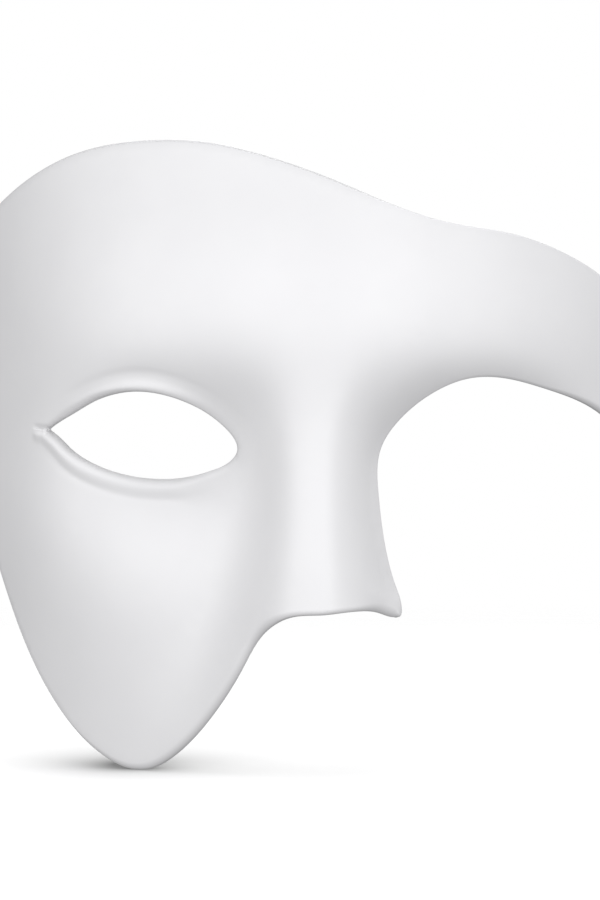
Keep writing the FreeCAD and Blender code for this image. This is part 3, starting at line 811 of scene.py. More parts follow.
def pad_mesh(name, centre, half_sizes, tilt):
    """Fabric-covered foam pad: toothed welded edge, crowned middle, puckers where they meet."""
    teeth = round(PAD_PERIMETER * (half_sizes[0] + half_sizes[1]) / PAD_TOOTH)
    count = teeth * PAD_TOOTH_POINTS
    edge = pad_outline(half_sizes, count)
    along = unit(past(edge))
    inward = np.stack([-along[:, 1], along[:, 0]], axis=1)
    place = circle(count)
    tooth = TOOTH_HEIGHT * np.cos(place * teeth)
    waves = np.sin(place * round(teeth / 4)) + 0.6 * np.sin(place * round(teeth / 6.4) + 1.3)
    reach_limit = min(half_sizes)
    flats, heights = [edge], [np.zeros(count)]
    for reach, share in PAD_PROFILE:
        if reach < reach_limit - 0.6:
            height = share * PAD_THICKNESS + PUCKER_HEIGHT * waves * hump(reach, *PUCKER_SPAN)
            flats.append(edge + inward * reach)
            heights.append(height + tooth if TOOTH_SPAN[0] < reach < TOOTH_SPAN[1] else height)
            last_share = share
    start = flats[-1]
    spine = np.array(half_sizes) - reach_limit
    target = np.clip(start, -spine, spine)
    for i in range(1, PAD_INNER_RINGS + 1):
        part = i / (PAD_INNER_RINGS + 1.0)
        crown = last_share + (1.0 - last_share) * (1.0 - (1.0 - part) ** 2)
        flats.append(start + (target - start) * part * 0.97)
        heights.append(np.full(count, crown * PAD_THICKNESS))
    flat = np.concatenate(flats)
    turn = math.radians(tilt)
    x = centre[0] + flat[:, 0] * math.cos(turn) - flat[:, 1] * math.sin(turn)
    z = centre[1] + flat[:, 0] * math.sin(turn) + flat[:, 1] * math.cos(turn)
    offset = 0 if half_sizes[0] >= half_sizes[1] else count // 4
    faces = flipped(skin(0, len(flats), count, capped=False))
    faces += closing_strip(list(range(count)), offset)
    faces += flipped(closing_strip(list(range(len(flat) - count, len(flat))), offset))
    return new_object(name + "_cushion", face_point(x, z, PAD_BASE + np.concatenate(heights)), faces)


def closing_strip(ring, offset):
    """Quads straight across a long closed ring, from end to end."""
    count = len(ring)
    ring = ring[offset:] + ring[:offset]
    return [(ring[i], ring[i + 1], ring[count - 2 - i], ring[count - 1 - i]) for i in range(count // 2 - 1)]


# ---------- ribbons that follow a path seen from above ----------

def walk(start, heading, steps):
    """Rows of (x, y, heading, length so far) along ("run", length) and ("turn", radius, degrees) steps."""
    x, y = start
    angle = math.radians(heading)
    total = 0.0
    rows = [(x, y, angle, total)]
    for step in steps:
        if step[0] == "run":
            count = max(2, round(step[1] / RIBBON_STEP))
            part = step[1] / count
            for i in range(count):
                x += part * math.cos(angle)
                y += part * math.sin(angle)
                total += part
                rows.append((x, y, angle, total))
        else:
            side = math.copysign(1.0, step[2])
            centre = (x - side * step[1] * math.sin(angle), y + side * step[1] * math.cos(angle))
            count = max(4, round(abs(step[2]) / 8.0))
            for i in range(count):
                angle += math.radians(step[2]) / count
                x = centre[0] + side * step[1] * math.sin(angle)
                y = centre[1] - side * step[1] * math.cos(angle)
                total += step[1] * math.radians(abs(step[2])) / count
                rows.append((x, y, angle, total))
    return rows


def strap_section():
    """(offset, up) of the elastic's front face from edge to edge: ribs, then rounded edges."""
    flat = STRAP_WIDTH / 2.0 - STRAP_EDGE
    ups = np.linspace(-flat, flat, RIBS * RIB_STEPS + 1)
    ribs = np.cos(2.0 * math.pi * RIBS * (ups + flat) / (2.0 * flat))
    heights = STRAP_THICKNESS / 2.0 - RIB_DEPTH * (0.5 + 0.5 * ribs)
    turns = np.radians([18.0, 36.0, 54.0, 72.0])
    edge_up = flat + STRAP_EDGE * np.sin(turns)
    edge_height = heights[0] * np.cos(turns)
    ups = np.concatenate([-edge_up[::-1], ups, edge_up])
    heights = np.concatenate([edge_height[::-1], heights, edge_height])
    return heights, ups


def ribbon(name, rows):
    heights, ups = strap_section()
    offsets = np.concatenate([heights, -heights[::-1]])
    levels = np.concatenate([ups, ups[::-1]])
    total = rows[-1][3]
    points, spots = [], []
    for x, y, angle, length in rows:
        from_end = min(length, total - length)
        pressed = 1.0 - CUT_PRESS * max(0.0, 1.0 - from_end / CUT_LENGTH) ** 2
        off = offsets * pressed
        across = (x - off * math.sin(angle), y + off * math.cos(angle))
        points.append(np.stack([*across, STRAP_Z + levels], axis=1))
        spots.append(np.stack([np.full(len(levels), length), levels], axis=1))
    around = len(offsets)
    faces = skin(0, len(rows), around, capped=False)
    faces += flipped(closing_strip(list(range(around)), 0))
    faces += closing_strip(list(range((len(rows) - 1) * around, len(rows) * around)), 0)
    made = new_object(name, np.concatenate(points), faces)
    paint_places(made, np.concatenate(spots))
    made.data.set_sharp_from_angle(angle=math.radians(50.0))
    return made


def paint_places(made, spots):
    """UV map in centimetres along and across the ribbon."""
    layer = made.data.uv_layers.new(name="weave")
    numbers = np.zeros(len(made.data.loops), int)
    made.data.loops.foreach_get("vertex_index", numbers)
    layer.data.foreach_set("uv", (spots[numbers] * CM_PER_MM).ravel())


# ---------- strap layout, seen from above ----------

def anchor(x):
    """Where a strap end is riveted: outer point, way outwards along the shell, way inwards."""
    step = 0.05
    slope = (face_y(x + step, STRAP_Z) - face_y(x - step, STRAP_Z)) / (2.0 * step)
    along = Vector((1.0, slope, 0.0)).normalized() * math.copysign(1.0, x)
    inward = Vector((-slope, 1.0, 0.0)).normalized()
    return Vector((x, face_y(x, STRAP_Z), STRAP_Z)), along, inward


def turn_centre(x):
    point, along, inward = anchor(x)
    return point + inward * (STRAP_DEPTH + TURN_RADIUS) + along * LEAVE_LENGTH


RIGHT_TURN = turn_centre(ANCHOR_X[0])
LEFT_TURN = turn_centre(ANCHOR_X[1])
CHORD = LEFT_TURN - RIGHT_TURN
CHORD_ANGLE = math.atan2(CHORD.y, CHORD.x)
CHORD_HEADING = math.degrees(CHORD_ANGLE)
CHORD_X = RIGHT_TURN.x - TURN_RADIUS * math.sin(CHORD_ANGLE)
CHORD_Y = RIGHT_TURN.y + TURN_RADIUS * math.cos(CHORD_ANGLE)

# heights above the strap's middle, towards the back
RETURN_HEIGHT = STRAP_THICKNESS + FIT_GAP
CENTRE_BAR_HEIGHT = RETURN_HEIGHT + STRAP_THICKNESS / 2.0 + FIT_GAP + CENTRE_BAR[1] / 2.0
TAIL_HEIGHT = 2.0 * CENTRE_BAR_HEIGHT - RETURN_HEIGHT
RING_HEIGHT = TAIL_HEIGHT / 2.0
LOOP_RADIUS = (TAIL_HEIGHT - RETURN_HEIGHT) / 2.0


def on_chord(along, height):
    x = CHORD_X + along * math.cos(CHORD_ANGLE)
    y = CHORD_Y + along * math.sin(CHORD_ANGLE)
    return (x - height * math.sin(CHORD_ANGLE), y + height * math.cos(CHORD_ANGLE))


def placed_on_chord(points, along):
    """Moves (along, through, up) points to their place on the strap."""
    points = np.asarray(points, float)
    base = on_chord(along, 0.0)
    c, s = math.cos(CHORD_ANGLE), math.sin(CHORD_ANGLE)
    x = base[0] + points[:, 0] * c - points[:, 1] * s
    y = base[1] + points[:, 0] * s + points[:, 1] * c
    return np.stack([x, y, STRAP_Z + points[:, 2]], axis=1)


def settle(rise, radius):
    """Degrees of the two equal bends that carry a layer sideways by rise."""
    return math.degrees(math.acos(1.0 - rise / (2.0 * radius)))


def anchored_start(x):
    point, along, inward = anchor(x)
    start = point + inward * STRAP_DEPTH - along * TAB_LENGTH
    return (start.x, start.y), math.degrees(math.atan2(along.y, along.x))


def long_strap():
    start, heading = anchored_start(ANCHOR_X[0])
    return walk(start, heading, [
        ("run", TAB_LENGTH + LEAVE_LENGTH),
        ("turn", TURN_RADIUS, CHORD_HEADING - heading),
        ("run", RING_AT),
        ("turn", RING_HEIGHT, 180.0),
    ])


def short_strap():
    start, heading = anchored_start(ANCHOR_X[1])
    bend = settle(TAIL_HEIGHT - STRAP_THICKNESS - LAYER_GAP, SHORT_BEND_RADIUS)
    return walk(start, heading, [
        ("run", TAB_LENGTH + LEAVE_LENGTH),
        ("turn", TURN_RADIUS, CHORD_HEADING + 180.0 - heading),
        ("run", CHORD.length - RING_AT - RING_BAR_SPACING),
        ("turn", RING_HEIGHT, -180.0),
        ("turn", SHORT_BEND_RADIUS, -bend),
        ("turn", SHORT_BEND_RADIUS, bend),
        ("run", SHORT_SEWN_LENGTH),
    ])


def tail():
    length = RING_AT - SLIDER_AT - LOOP_REACH
    return walk(on_chord(RING_AT, TAIL_HEIGHT), CHORD_HEADING + 180.0, [("run", length)])


def tail_loop():
    bend = settle(TAIL_HEIGHT - STRAP_THICKNESS - LAYER_GAP - RETURN_HEIGHT, LOOP_BEND_RADIUS)
    shift = 2.0 * LOOP_BEND_RADIUS * math.sin(math.radians(bend))
    back = CENTRE_BAR[0] / 2.0 - LOOP_TURN_IN
    under = LOOP_REACH + back - shift - LOOP_SEWN_LENGTH
    return walk(on_chord(SLIDER_AT + LOOP_REACH - LAYER_GAP, TAIL_HEIGHT), CHORD_HEADING + 180.0, [
        ("run", LOOP_REACH - LAYER_GAP + back),
        ("turn", LOOP_RADIUS, 180.0),
        ("run", under),
        ("turn", LOOP_BEND_RADIUS, bend),
        ("turn", LOOP_BEND_RADIUS, -bend),
        ("run", LOOP_SEWN_LENGTH - LAYER_GAP),
    ])


# ---------- stitches ----------

def tube(path, side_way, radius):
    """Rings of points round a path; side_way is a direction that is never along it."""
    ahead = unit(np.gradient(path, axis=0))
    across = unit(np.cross(ahead, side_way))
    other = np.cross(across, ahead)
    cos, sin = (wave(circle(THREAD_SIDES))[None, :, None] for wave in (np.cos, np.sin))
    return (path[:, None] + radius * (across[:, None] * cos + other[:, None] * sin)).reshape(-1, 3)


def stitches(name, first, top, bottom, along):
    """Two-ply thread that dips into the elastic at both ends of every stitch."""
    points, faces = [], []
    share = np.linspace(0.0, 1.0, STITCH_STEPS)
    for face, side in ((top, 1.0), (bottom, -1.0)):
        for row in STITCH_ROWS:
            for i in range(STITCHES_PER_ROW):
                start = first + i * STITCH_PITCH
                rise = THREAD_RADIUS * THREAD_RIDE - THREAD_DIP * np.abs(2.0 * share - 1.0) ** 5
                for ply in (0.0, math.pi):
                    twist = ply + share * 2.0 * math.pi * PLY_TURNS
                    line = np.stack([
                        start + share * STITCH_LENGTH,
                        face + side * (rise + THREAD_RADIUS * PLY_OFFSET * np.cos(twist)),
                        row + THREAD_RADIUS * PLY_OFFSET * np.sin(twist),
                    ], axis=1)
                    faces += flipped(skin(len(points), STITCH_STEPS, THREAD_SIDES))
                    points += list(tube(line, (0.0, 0.0, 1.0), THREAD_RADIUS))
    return new_object(name, placed_on_chord(points, along), faces)


def loop_thread():
    half = STRAP_THICKNESS / 2.0
    first = LOOP_REACH - LOOP_SEWN_LENGTH + LOOP_SEAM_IN
    lower_layer = TAIL_HEIGHT - STRAP_THICKNESS - LAYER_GAP
    return stitches("loop_thread", first, TAIL_HEIGHT + half, lower_layer - half, SLIDER_AT)


def end_thread(short_end):
    half = STRAP_THICKNESS / 2.0
    end = (short_end[0] - CHORD_X) * math.cos(CHORD_ANGLE) + (short_end[1] - CHORD_Y) * math.sin(CHORD_ANGLE)
    first = -SHORT_SEWN_LENGTH + SHORT_SEAM_IN
    return stitches("end_thread", first, STRAP_THICKNESS + LAYER_GAP + half, -half, end)


# ---------- slider and ring ----------

def slider_body():
    """Three-bar slider from solid cells: corner points, faces, and its half length and half height."""
    rail_in = STRAP_WIDTH / 2.0 + SIDE_GAP
    rail_out = rail_in + SLIDER_RAIL
    face_top = -STRAP_THICKNESS / 2.0 - FIT_GAP
    bar_low = CENTRE_BAR_HEIGHT - CENTRE_BAR[1] / 2.0
    end = SLIDER_HALF_LENGTH
    stops = [
        [-end, -end + OUTER_BAR[0], -CENTRE_BAR[0] / 2.0, CENTRE_BAR[0] / 2.0, end - OUTER_BAR[0], end],
        [face_top - OUTER_BAR[1], face_top, bar_low, bar_low + CENTRE_BAR[1]],
        [-rail_out, -rail_in, rail_in, rail_out],
    ]
    # each side of a cell: the way to its neighbour, and its corners, whose bits tell x, y and z apart
    sides = {
        (-1, 0, 0): (0, 4, 6, 2), (1, 0, 0): (1, 3, 7, 5), (0, -1, 0): (0, 1, 5, 4),
        (0, 1, 0): (2, 6, 7, 3), (0, 0, -1): (0, 2, 3, 1), (0, 0, 1): (4, 5, 7, 6),
    }

    def solid(i, j, k):
        if not (0 <= i < 5 and 0 <= j < 3 and 0 <= k < 3):
            return False
        return k != 1 or (i in (0, 4) and j == 0) or (i == 2 and j == 2)

    numbers, faces = {}, []
    for i, j, k in np.ndindex(5, 3, 3):
        for (a, b, c), side in sides.items():
            if solid(i, j, k) and not solid(i + a, j + b, k + c):
                keys = [(i + (corner & 1), j + (corner >> 1 & 1), k + (corner >> 2)) for corner in side]
                faces.append(tuple(numbers.setdefault(key, len(numbers)) for key in keys))
    points = [tuple(stop[place] for stop, place in zip(stops, key)) for key in numbers]
    return points, faces, end, rail_out


def make_slider():
    points, faces, end, rail_out = slider_body()
    shape = bmesh.new()
    corners = [shape.verts.new(p) for p in points]
    for face in faces:
        shape.faces.new([corners[v] for v in face])
    bmesh.ops.dissolve_limit(shape, angle_limit=0.01, verts=shape.verts[:], edges=shape.edges[:])
    outer = [
        e for e in shape.edges
        if all(abs(abs(v.co.x) - end) < 0.01 and abs(abs(v.co.z) - rail_out) < 0.01 for v in e.verts)
    ]
    bmesh.ops.bevel(shape, geom=outer, offset=SLIDER_CORNER, segments=8, profile=0.5, affect="EDGES")
    sharp = [e for e in shape.edges if len(e.link_faces) == 2 and e.calc_face_angle() > math.radians(40.0)]
    bmesh.ops.bevel(
        shape, geom=sharp, offset=SLIDER_EDGE, segments=4, profile=0.5, affect="EDGES", clamp_overlap=True
    )
    shape.normal_update()
    shape.verts.ensure_lookup_table()
    shape.verts.index_update()
    points = [v.co[:] for v in shape.verts]
    faces = [tuple(v.index for v in f.verts) for f in shape.faces]
    shape.free()
    made = new_object("slider_frame", placed_on_chord(points, SLIDER_AT), faces)
    made.data.set_sharp_from_angle(angle=math.radians(35.0))
    return made


def make_ring():
    """Bent wire rectangle with round corners and a faint welded joint."""
    up = STRAP_WIDTH / 2.0 + SIDE_GAP + RING_WIRE_RADIUS
    low, high = (RING_CORNER, RING_CORNER - up), (RING_BAR_SPACING - RING_CORNER, up - RING_CORNER)
    corners = [low, (high[0], low[1]), high, (low[0], high[1])]
    line = np.array([
        point for i, corner in enumerate(corners)
        for point in arc(corner, RING_CORNER, 90.0 * (i + 2), 90.0 * (i + 3), 8)
    ])
    dense = []
    for a, b in zip(line, np.roll(line, -1, axis=0)):
        count = max(1, int(np.linalg.norm(b - a) / 0.5))
        dense += [a + (b - a) * i / count for i in range(count)]
    dense = np.array(dense)
    ahead = unit(past(dense))
    out = np.stack([ahead[:, 1], -ahead[:, 0]], axis=1)
    joint = hump(np.hypot(dense[:, 0] - RING_BAR_SPACING / 2.0, dense[:, 1] - up), 0.0, RING_JOINT[1])
    radius = (RING_WIRE_RADIUS * (1.0 + RING_JOINT[0] * joint))[:, None]
    cos, sin = np.cos(circle(RING_SIDES)), np.sin(circle(RING_SIDES))
    x, z = (dense[:, None, i] + out[:, None, i] * radius * cos for i in (0, 1))
    points = np.stack([x, RING_HEIGHT + radius * sin, z], axis=2).reshape(-1, 3)
    faces = skin(0, len(dense), RING_SIDES, closed=True)
    return new_object("ring_wire", placed_on_chord(points, RING_AT), faces)


# ---------- rivets ----------

def lathe(name, profile, x, closed):
    """Turns (radius, depth) points round the rivet's axis at one end of the strap."""
    point, along, inward = anchor(x)
    base, u, v, axis = (np.array(d) for d in (point, along, Vector((0.0, 0.0, 1.0)), inward))
    ways = np.cos(circle(LATHE_STEPS))[:, None] * u + np.sin(circle(LATHE_STEPS))[:, None] * v
    points = np.concatenate([base + axis * depth + ways * radius for radius, depth in profile])
    faces = skin(0, len(profile), LATHE_STEPS, closed)
    if np.dot(np.cross(u, v), axis) < 0.0:
        faces = flipped(faces)
    made = new_object(name, points, faces)
    made.data.set_sharp_from_angle(angle=math.radians(40.0))
    return made


def arc(centre, radius, start, end, steps):
    """(radius, depth) points on an arc; angles in degrees, 0 is outwards, 90 is deeper."""
    turns = [math.radians(start + (end - start) * i / steps) for i in range(steps + 1)]
    return [(centre[0] + radius * math.cos(t), centre[1] + radius * math.sin(t)) for t in turns]


def rivet_profile():
    """From the middle of the cap's dome round its rim, down the shank and round the rolled end."""
    shoulder = -CAP_GAP - CAP_THICKNESS
    flat = CAP_RADIUS - CAP_EDGE
    dome = [(flat * i / 12.0, shoulder - CAP_DOME * (1.0 - (i / 12.0) ** 2.2)) for i in range(1, 13)]
    rim = arc((flat, shoulder + CAP_EDGE), CAP_EDGE, -70.0, 90.0, 8)
    roll = 0.5 * BURR_THICKNESS
    burr = arc((BURR_RADIUS - roll, BURR_DEPTH + roll), roll, -90.0, 90.0, 8)
    throat = arc((THROAT_RADIUS + roll, BURR_DEPTH + roll), roll, 90.0, 180.0, 4)
    shank = [(SHANK_RADIUS, -CAP_GAP), (SHANK_RADIUS, BURR_DEPTH)]
    return dome + rim + shank + burr + throat + [(THROAT_RADIUS, THROAT_FLOOR)]


def washer_profile():
    low = STRAP_DEPTH + STRAP_THICKNESS / 2.0 + LAYER_GAP + WASHER_SOFT
    high = low + WASHER_THICKNESS - 2.0 * WASHER_SOFT
    outer, inner = WASHER_RADIUS - WASHER_SOFT, RIVET_HOLE_RADIUS + WASHER_SOFT
    corners = [(outer, low, -90.0), (outer, high, 0.0), (inner, high, 90.0), (inner, low, 180.0)]
    return [point for x, y, start in corners for point in arc((x, y), WASHER_SOFT, start, start + 90.0, 3)]


# ---------- materials ----------

def add_node(tree, kind, inputs=None, **settings):
    """New node; an input that is given a socket is linked, and one that is given a value is set."""
    made = tree.nodes.new(kind)
    for key, value in settings.items():
        setattr(made, key, value)
    for key, value in (inputs or {}).items():
        if isinstance(value, bpy.types.NodeSocket):
            tree.links.new(value, made.inputs[key])
        else:
            made.inputs[key].default_value = value
    return made


class Look:
    """A material: its Principled shader and the textures that feed it."""

    def __init__(self, name, colour, roughness, specular, extra=None):
        self.material = bpy.data.materials.new(name)
        self.material.use_nodes = True
        self.tree = self.material.node_tree
        self.shader = self.tree.nodes["Principled BSDF"]
        self.place = self.node("ShaderNodeTexCoord").outputs["Object"]
        self.colour = None
        self.relief = None
        base = {"Base Color": (*colour, 1.0), "Roughness": roughness, "Specular IOR Level": specular}
        for key, value in {**base, **(extra or {})}.items():
            self.shader.inputs[key].default_value = value

    def node(self, kind, inputs=None, **settings):
        return add_node(self.tree, kind, inputs, **settings)

    def feed(self, name, socket):
        self.tree.links.new(socket, self.shader.inputs[name])

    def noise(self, scale, detail):
        inputs = {"Vector": self.place, "Scale": scale, "Detail": detail}
        return self.node("ShaderNodeTexNoise", inputs).outputs["Fac"]

    def calculate(self, operation, *numbers):
        return self.node("ShaderNodeMath", dict(enumerate(numbers)), operation=operation).outputs["Value"]

    def length(self, vector):
        return self.node("ShaderNodeVectorMath", {0: vector}, operation="LENGTH").outputs["Value"]

    def between(self, factor, low, high, start=0.3, end=0.7, **settings):
        """Goes from low to high as the factor goes from start to end."""
        inputs = {"Value": factor, "From Min": start, "From Max": end, "To Min": low, "To Max": high}
        return self.node("ShaderNodeMapRange", inputs, **settings).outputs["Result"]

    def tint(self, factor, first, second, low=0.3, high=0.7):
        """Colours the surface from first to second as the factor goes from low to high."""
        blend = self.node("ShaderNodeValToRGB", {"Fac": factor})
        for i, (place, colour) in enumerate(((low, first), (high, second))):
            blend.color_ramp.elements[i].position = place
            blend.color_ramp.elements[i].color = (*colour, 1.0)
        self.colour = blend.outputs["Color"]
        self.feed("Base Color", self.colour)

    def dim(self, share):
        """Scales the tint by a share that varies over the surface."""
        dimmed = self.node("ShaderNodeVectorMath", {0: self.colour, "Scale": share}, operation="SCALE")
        self.feed("Base Color", dimmed.outputs["Vector"])

    def bump(self, height, strength, distance, **settings):
        """Adds a layer of relief over the layers before it."""
        inputs = {"Height": height, "Strength": strength, "Distance": distance}
        if self.relief:
            inputs["Normal"] = self.relief
        self.relief = self.node("ShaderNodeBump", inputs, **settings).outputs["Normal"]
        self.feed("Normal", self.relief)


def noisy(name, roughness, specular, tint, rough=None, relief=(), extra=None):
    """Look with a noise (scale, detail) behind its tint, its roughness and each layer of its relief."""
    look = Look(name, tint[3], roughness, specular, extra)
    look.tint(look.noise(*tint[:2]), *tint[2:])
    if rough:
        look.feed("Roughness", look.between(look.noise(*rough[:2]), *rough[2:]))
    for layer in relief:
        look.bump(look.noise(*layer[:2]), *layer[2:])
    return look


def shell_material():
    """Matte white moulded plastic: faint clouding, a soft orange peel, a fine tooth, and painted shade along
    the rims (painted light where it is below nothing).
    """
    look = noisy(
        "shell_white", 0.55, 0.35, (45.0, 3.0, SHELL_SHADE, SHELL_WHITE), (260.0, 2.0, 0.50, 0.60),
        [(320.0, 1.0, 0.12, 0.00006), (2600.0, 2.0, 0.16, 0.00003)],
    )
    # the attribute darkens the tint: painted shade at the rims and the curl, painted light where it is
    # negative
    painted_shading = look.node("ShaderNodeAttribute", attribute_name="painted_edge_shading").outputs["Fac"]
    look.dim(look.calculate("SUBTRACT", 1.0, painted_shading))
    return look


def foam_material():
    """Brushed knit over foam: tiny loops, soft nap and slight colour variation."""
    look = Look("pad_fabric", PAD_GREY, 0.95, 0.2, {"Sheen Weight": 0.35, "Sheen Roughness": 0.5})
    inputs = {"Vector": look.place, "Scale": KNIT_SCALE, "Randomness": 0.45}
    loops = look.node("ShaderNodeTexVoronoi", inputs, feature="SMOOTH_F1").outputs["Distance"]
    nap = look.noise(700.0, 4.0)
    shade = look.calculate("MULTIPLY_ADD", loops, -0.5, 0.35)
    shade = look.calculate("ADD", look.calculate("MULTIPLY", nap, 0.7), shade)
    look.tint(shade, PAD_SHADE, PAD_GREY, 0.35, 0.62)
    look.bump(look.noise(240.0, 3.0), 0.35, 0.0003)
    look.bump(nap, 0.45, 0.00018)
    look.bump(loops, 0.7, 0.00022)
    return look


def elastic_material():
    """Woven elastic: ribs run along it and weft threads cross each rib half a step apart; its tint darkens
    into the rib valleys as painted shade, over the weft pattern and a random fuzz tone.
    """
    look = Look("elastic_white", ELASTIC_WHITE, 0.85, 0.25, {"Sheen Weight": 0.25, "Sheen Roughness": 0.4})
    calculate = look.calculate
    place = look.node("ShaderNodeUVMap", uv_map="weave").outputs["UV"]
    split = look.node("ShaderNodeSeparateXYZ", {"Vector": place})
    rib_pitch = (STRAP_WIDTH - 2.0 * STRAP_EDGE) / RIBS * CM_PER_MM
    rib_place = calculate("ADD", calculate("DIVIDE", split.outputs["Y"], rib_pitch), RIBS / 2.0)
    odd = calculate("MODULO", calculate("FLOOR", rib_place), 2.0)
    weft = calculate("MULTIPLY", split.outputs["X"], math.pi / WEFT_PITCH)
    crossing = calculate("ADD", weft, calculate("MULTIPLY", odd, 0.5 * math.pi))
    threads = calculate("ABSOLUTE", calculate("SINE", crossing))
    rib_wave = calculate("ABSOLUTE", calculate("SINE", calculate("MULTIPLY", rib_place, math.pi)))
    height = calculate("MULTIPLY", threads, calculate("POWER", rib_wave, 0.5))
    fuzz = look.noise(3000.0, 3.0)
    # painted shade: the tint is darkest in the rib valleys, with the weft pattern and random fuzz tone over
    # it
    shade = calculate("ADD", calculate("MULTIPLY", height, 0.75), calculate("MULTIPLY", fuzz, 0.3))
    look.tint(shade, ELASTIC_PAINTED_SHADE, ELASTIC_WHITE, 0.12, 0.72)
    look.bump(fuzz, 0.3, 0.00008)
    look.bump(height, 0.85, 0.00022, invert=True)
    return look


def plain_looks():
    """Materials that are noise alone, by slot."""
    return {
        # the inside of the shell: the same plastic, a little shinier, with flow marks from the mould
        "back": noisy(
            "shell_back", 0.4, 0.45, (18.0, 4.0, BACK_SHADE, BACK_WHITE), (120.0, 3.0, 0.34, 0.46),
            [(60.0, 2.0, 0.25, 0.0002), (1500.0, 3.0, 0.25, 0.00004)],
        ),
        # cream double-sided tape with a fibrous carrier
        "adhesive": noisy(
            "tape_cream", 0.5, 0.4, (900.0, 5.0, (0.70, 0.68, 0.59), (0.79, 0.77, 0.69)), None,
            [(900.0, 5.0, 0.3, 0.0001)],
        ),
        "thread": noisy(
            "thread_white", 0.6, 0.4, (4200.0, 3.0, (0.68, 0.68, 0.67), (0.83, 0.83, 0.82)), None,
            [(4200.0, 3.0, 0.5, 0.00006)], {"Sheen Weight": 0.3},
        ),
        # semi-gloss moulded plastic with a faint flow pattern and handling marks
        "hardware": noisy(
            "hardware_white", 0.28, 0.5, (140.0, 3.0, (0.765, 0.765, 0.755), (0.81, 0.81, 0.80)),
            (900.0, 6.0, 0.24, 0.38), [(900.0, 6.0, 0.12, 0.00005)],
        ),
        # white lacquer over steel, with a faint orange peel
        "rivet": noisy(
            "rivet_lacquer", 0.3, 0.5, (500.0, 2.0, (0.74, 0.745, 0.75), (0.79, 0.795, 0.80)),
            (1500.0, 4.0, 0.26, 0.38), [(1100.0, 1.0, 0.15, 0.00006)],
            {"Coat Weight": 0.3, "Coat Roughness": 0.2},
        ),
        # nickel plate with fine tumbling marks
        "washer": noisy(
            "washer_nickel", 0.32, 0.5, (600.0, 4.0, (0.52, 0.50, 0.465), (0.66, 0.64, 0.60)),
            (2400.0, 5.0, 0.24, 0.42), [(3200.0, 4.0, 0.25, 0.00004)], {"Metallic": 1.0},
        ),
    }


SHELL_WHITE = (0.744, 0.742, 0.756)
SHELL_SHADE = (0.724, 0.722, 0.737)
BACK_WHITE = (0.77, 0.77, 0.765)
BACK_SHADE = (0.73, 0.73, 0.72)
PAD_GREY = (0.68, 0.67, 0.65)
PAD_SHADE = (0.54, 0.53, 0.51)
ELASTIC_WHITE = (0.83, 0.83, 0.82)
# darkest elastic tint, painted into the rib valleys as shade
ELASTIC_PAINTED_SHADE = (0.50, 0.50, 0.49)
CM_PER_MM = 0.1            # the ribbons' UV map is in centimetres
WEFT_PITCH = 0.055         # in centimetres
KNIT_SCALE = 1900.0


# ---------- stage, light and camera ----------

CAMERA_AT = (-5.46, -950.0, -7.8)
VIEW_HEIGHT = 234.0        # height of the picture at the origin's depth
SENSOR = 36.0
FLOOR_SIZE = 3200.0
FLOOR_CLEAR = (0.42, 1.1)  # distances in metres over which the floor melts into the surroundings
WORLD_LIGHT = 0.35
# shadows painted on the floor round the tip the mask stands on: centre, how fast each falls away, strength
BROAD_PAINTED_SHADOW = ((-52.5, 39.0), (13.5, 24.5), 1.04)
CONTACT_PAINTED_SHADOW = ((-47.5, 25.0), (5.5, 5.0), 0.5)
PAINTED_SHADOW_CUT = 0.03
PAINTED_SHADOW_DARKEST = 0.22
FLAT_SCALE = 1.0e6                 # leaves height out of the distance
LIGHT_AIM = (0.0, 20.0, -10.0)
LIGHT_DISTANCE = 2200.0
# name, azimuth, elevation, power
SOFTBOXES = [
    ("left", -60.0, 10.0, 18.5),
    ("right", 25.0, 10.0, 21.0),
    ("top", 25.0, 62.0, 24.6),
    ("behind", 180.0, 35.0, 19.0),
]
SOFTBOX_SIZE = 900.0
FLOOR_LIGHT_HEIGHT = 1500.0
FLOOR_LIGHT_SIZE = 3600.0
FLOOR_LIGHT_POWER = 46.5


def make_camera():
    data = bpy.data.cameras.new("camera")
    data.sensor_width = SENSOR
    data.lens = SENSOR * -CAMERA_AT[1] / VIEW_HEIGHT
    data.clip_start = 0.01
    data.clip_end = 20.0
    camera = bpy.data.objects.new("camera", data)
    camera.location = Vector(CAMERA_AT) * MM
    camera.rotation_euler = (math.radians(90.0), 0.0, 0.0)
    bpy.context.scene.collection.objects.link(camera)
    bpy.context.scene.camera = camera


def fading_spot(look, centre, fall, strength):
    """Strongest at the spot's centre, falling away to nothing round it."""
    inputs = {
        "Vector": look.place,
        "Location": (centre[0] * MM, centre[1] * MM, 0.0),
        "Scale": (fall[0] * MM, fall[1] * MM, FLAT_SCALE),
    }
    scaled = look.node("ShaderNodeMapping", inputs, vector_type="TEXTURE").outputs["Vector"]
    falling = look.calculate("EXPONENT", look.calculate("MULTIPLY", look.length(scaled), -1.0))
    left = look.calculate("MAXIMUM", look.calculate("SUBTRACT", falling, PAINTED_SHADOW_CUT), 0.0)
    return look.calculate("MULTIPLY", left, strength)


def floor_material():
    """White paper with a shadow painted round the tip the mask stands on, that melts into the white
    surroundings.
    """
    look = noisy("floor_white", 0.85, 0.1, (30.0, 4.0, (0.945, 0.945, 0.947), (0.955, 0.955, 0.957)))
    # painted shadow: the floor's colour darkens round the tip, broad and then tight at the contact
    painted_shadows = look.calculate("ADD", fading_spot(look, *BROAD_PAINTED_SHADOW), fading_spot(look, *CONTACT_PAINTED_SHADOW))
    look.dim(look.calculate("MAXIMUM", look.calculate("SUBTRACT", 1.0, painted_shadows), PAINTED_SHADOW_DARKEST))
    fade = look.between(look.length(look.place), 1.0, 0.0, *FLOOR_CLEAR, interpolation_type="SMOOTHSTEP")
    look.feed("Alpha", fade)
    return look.material


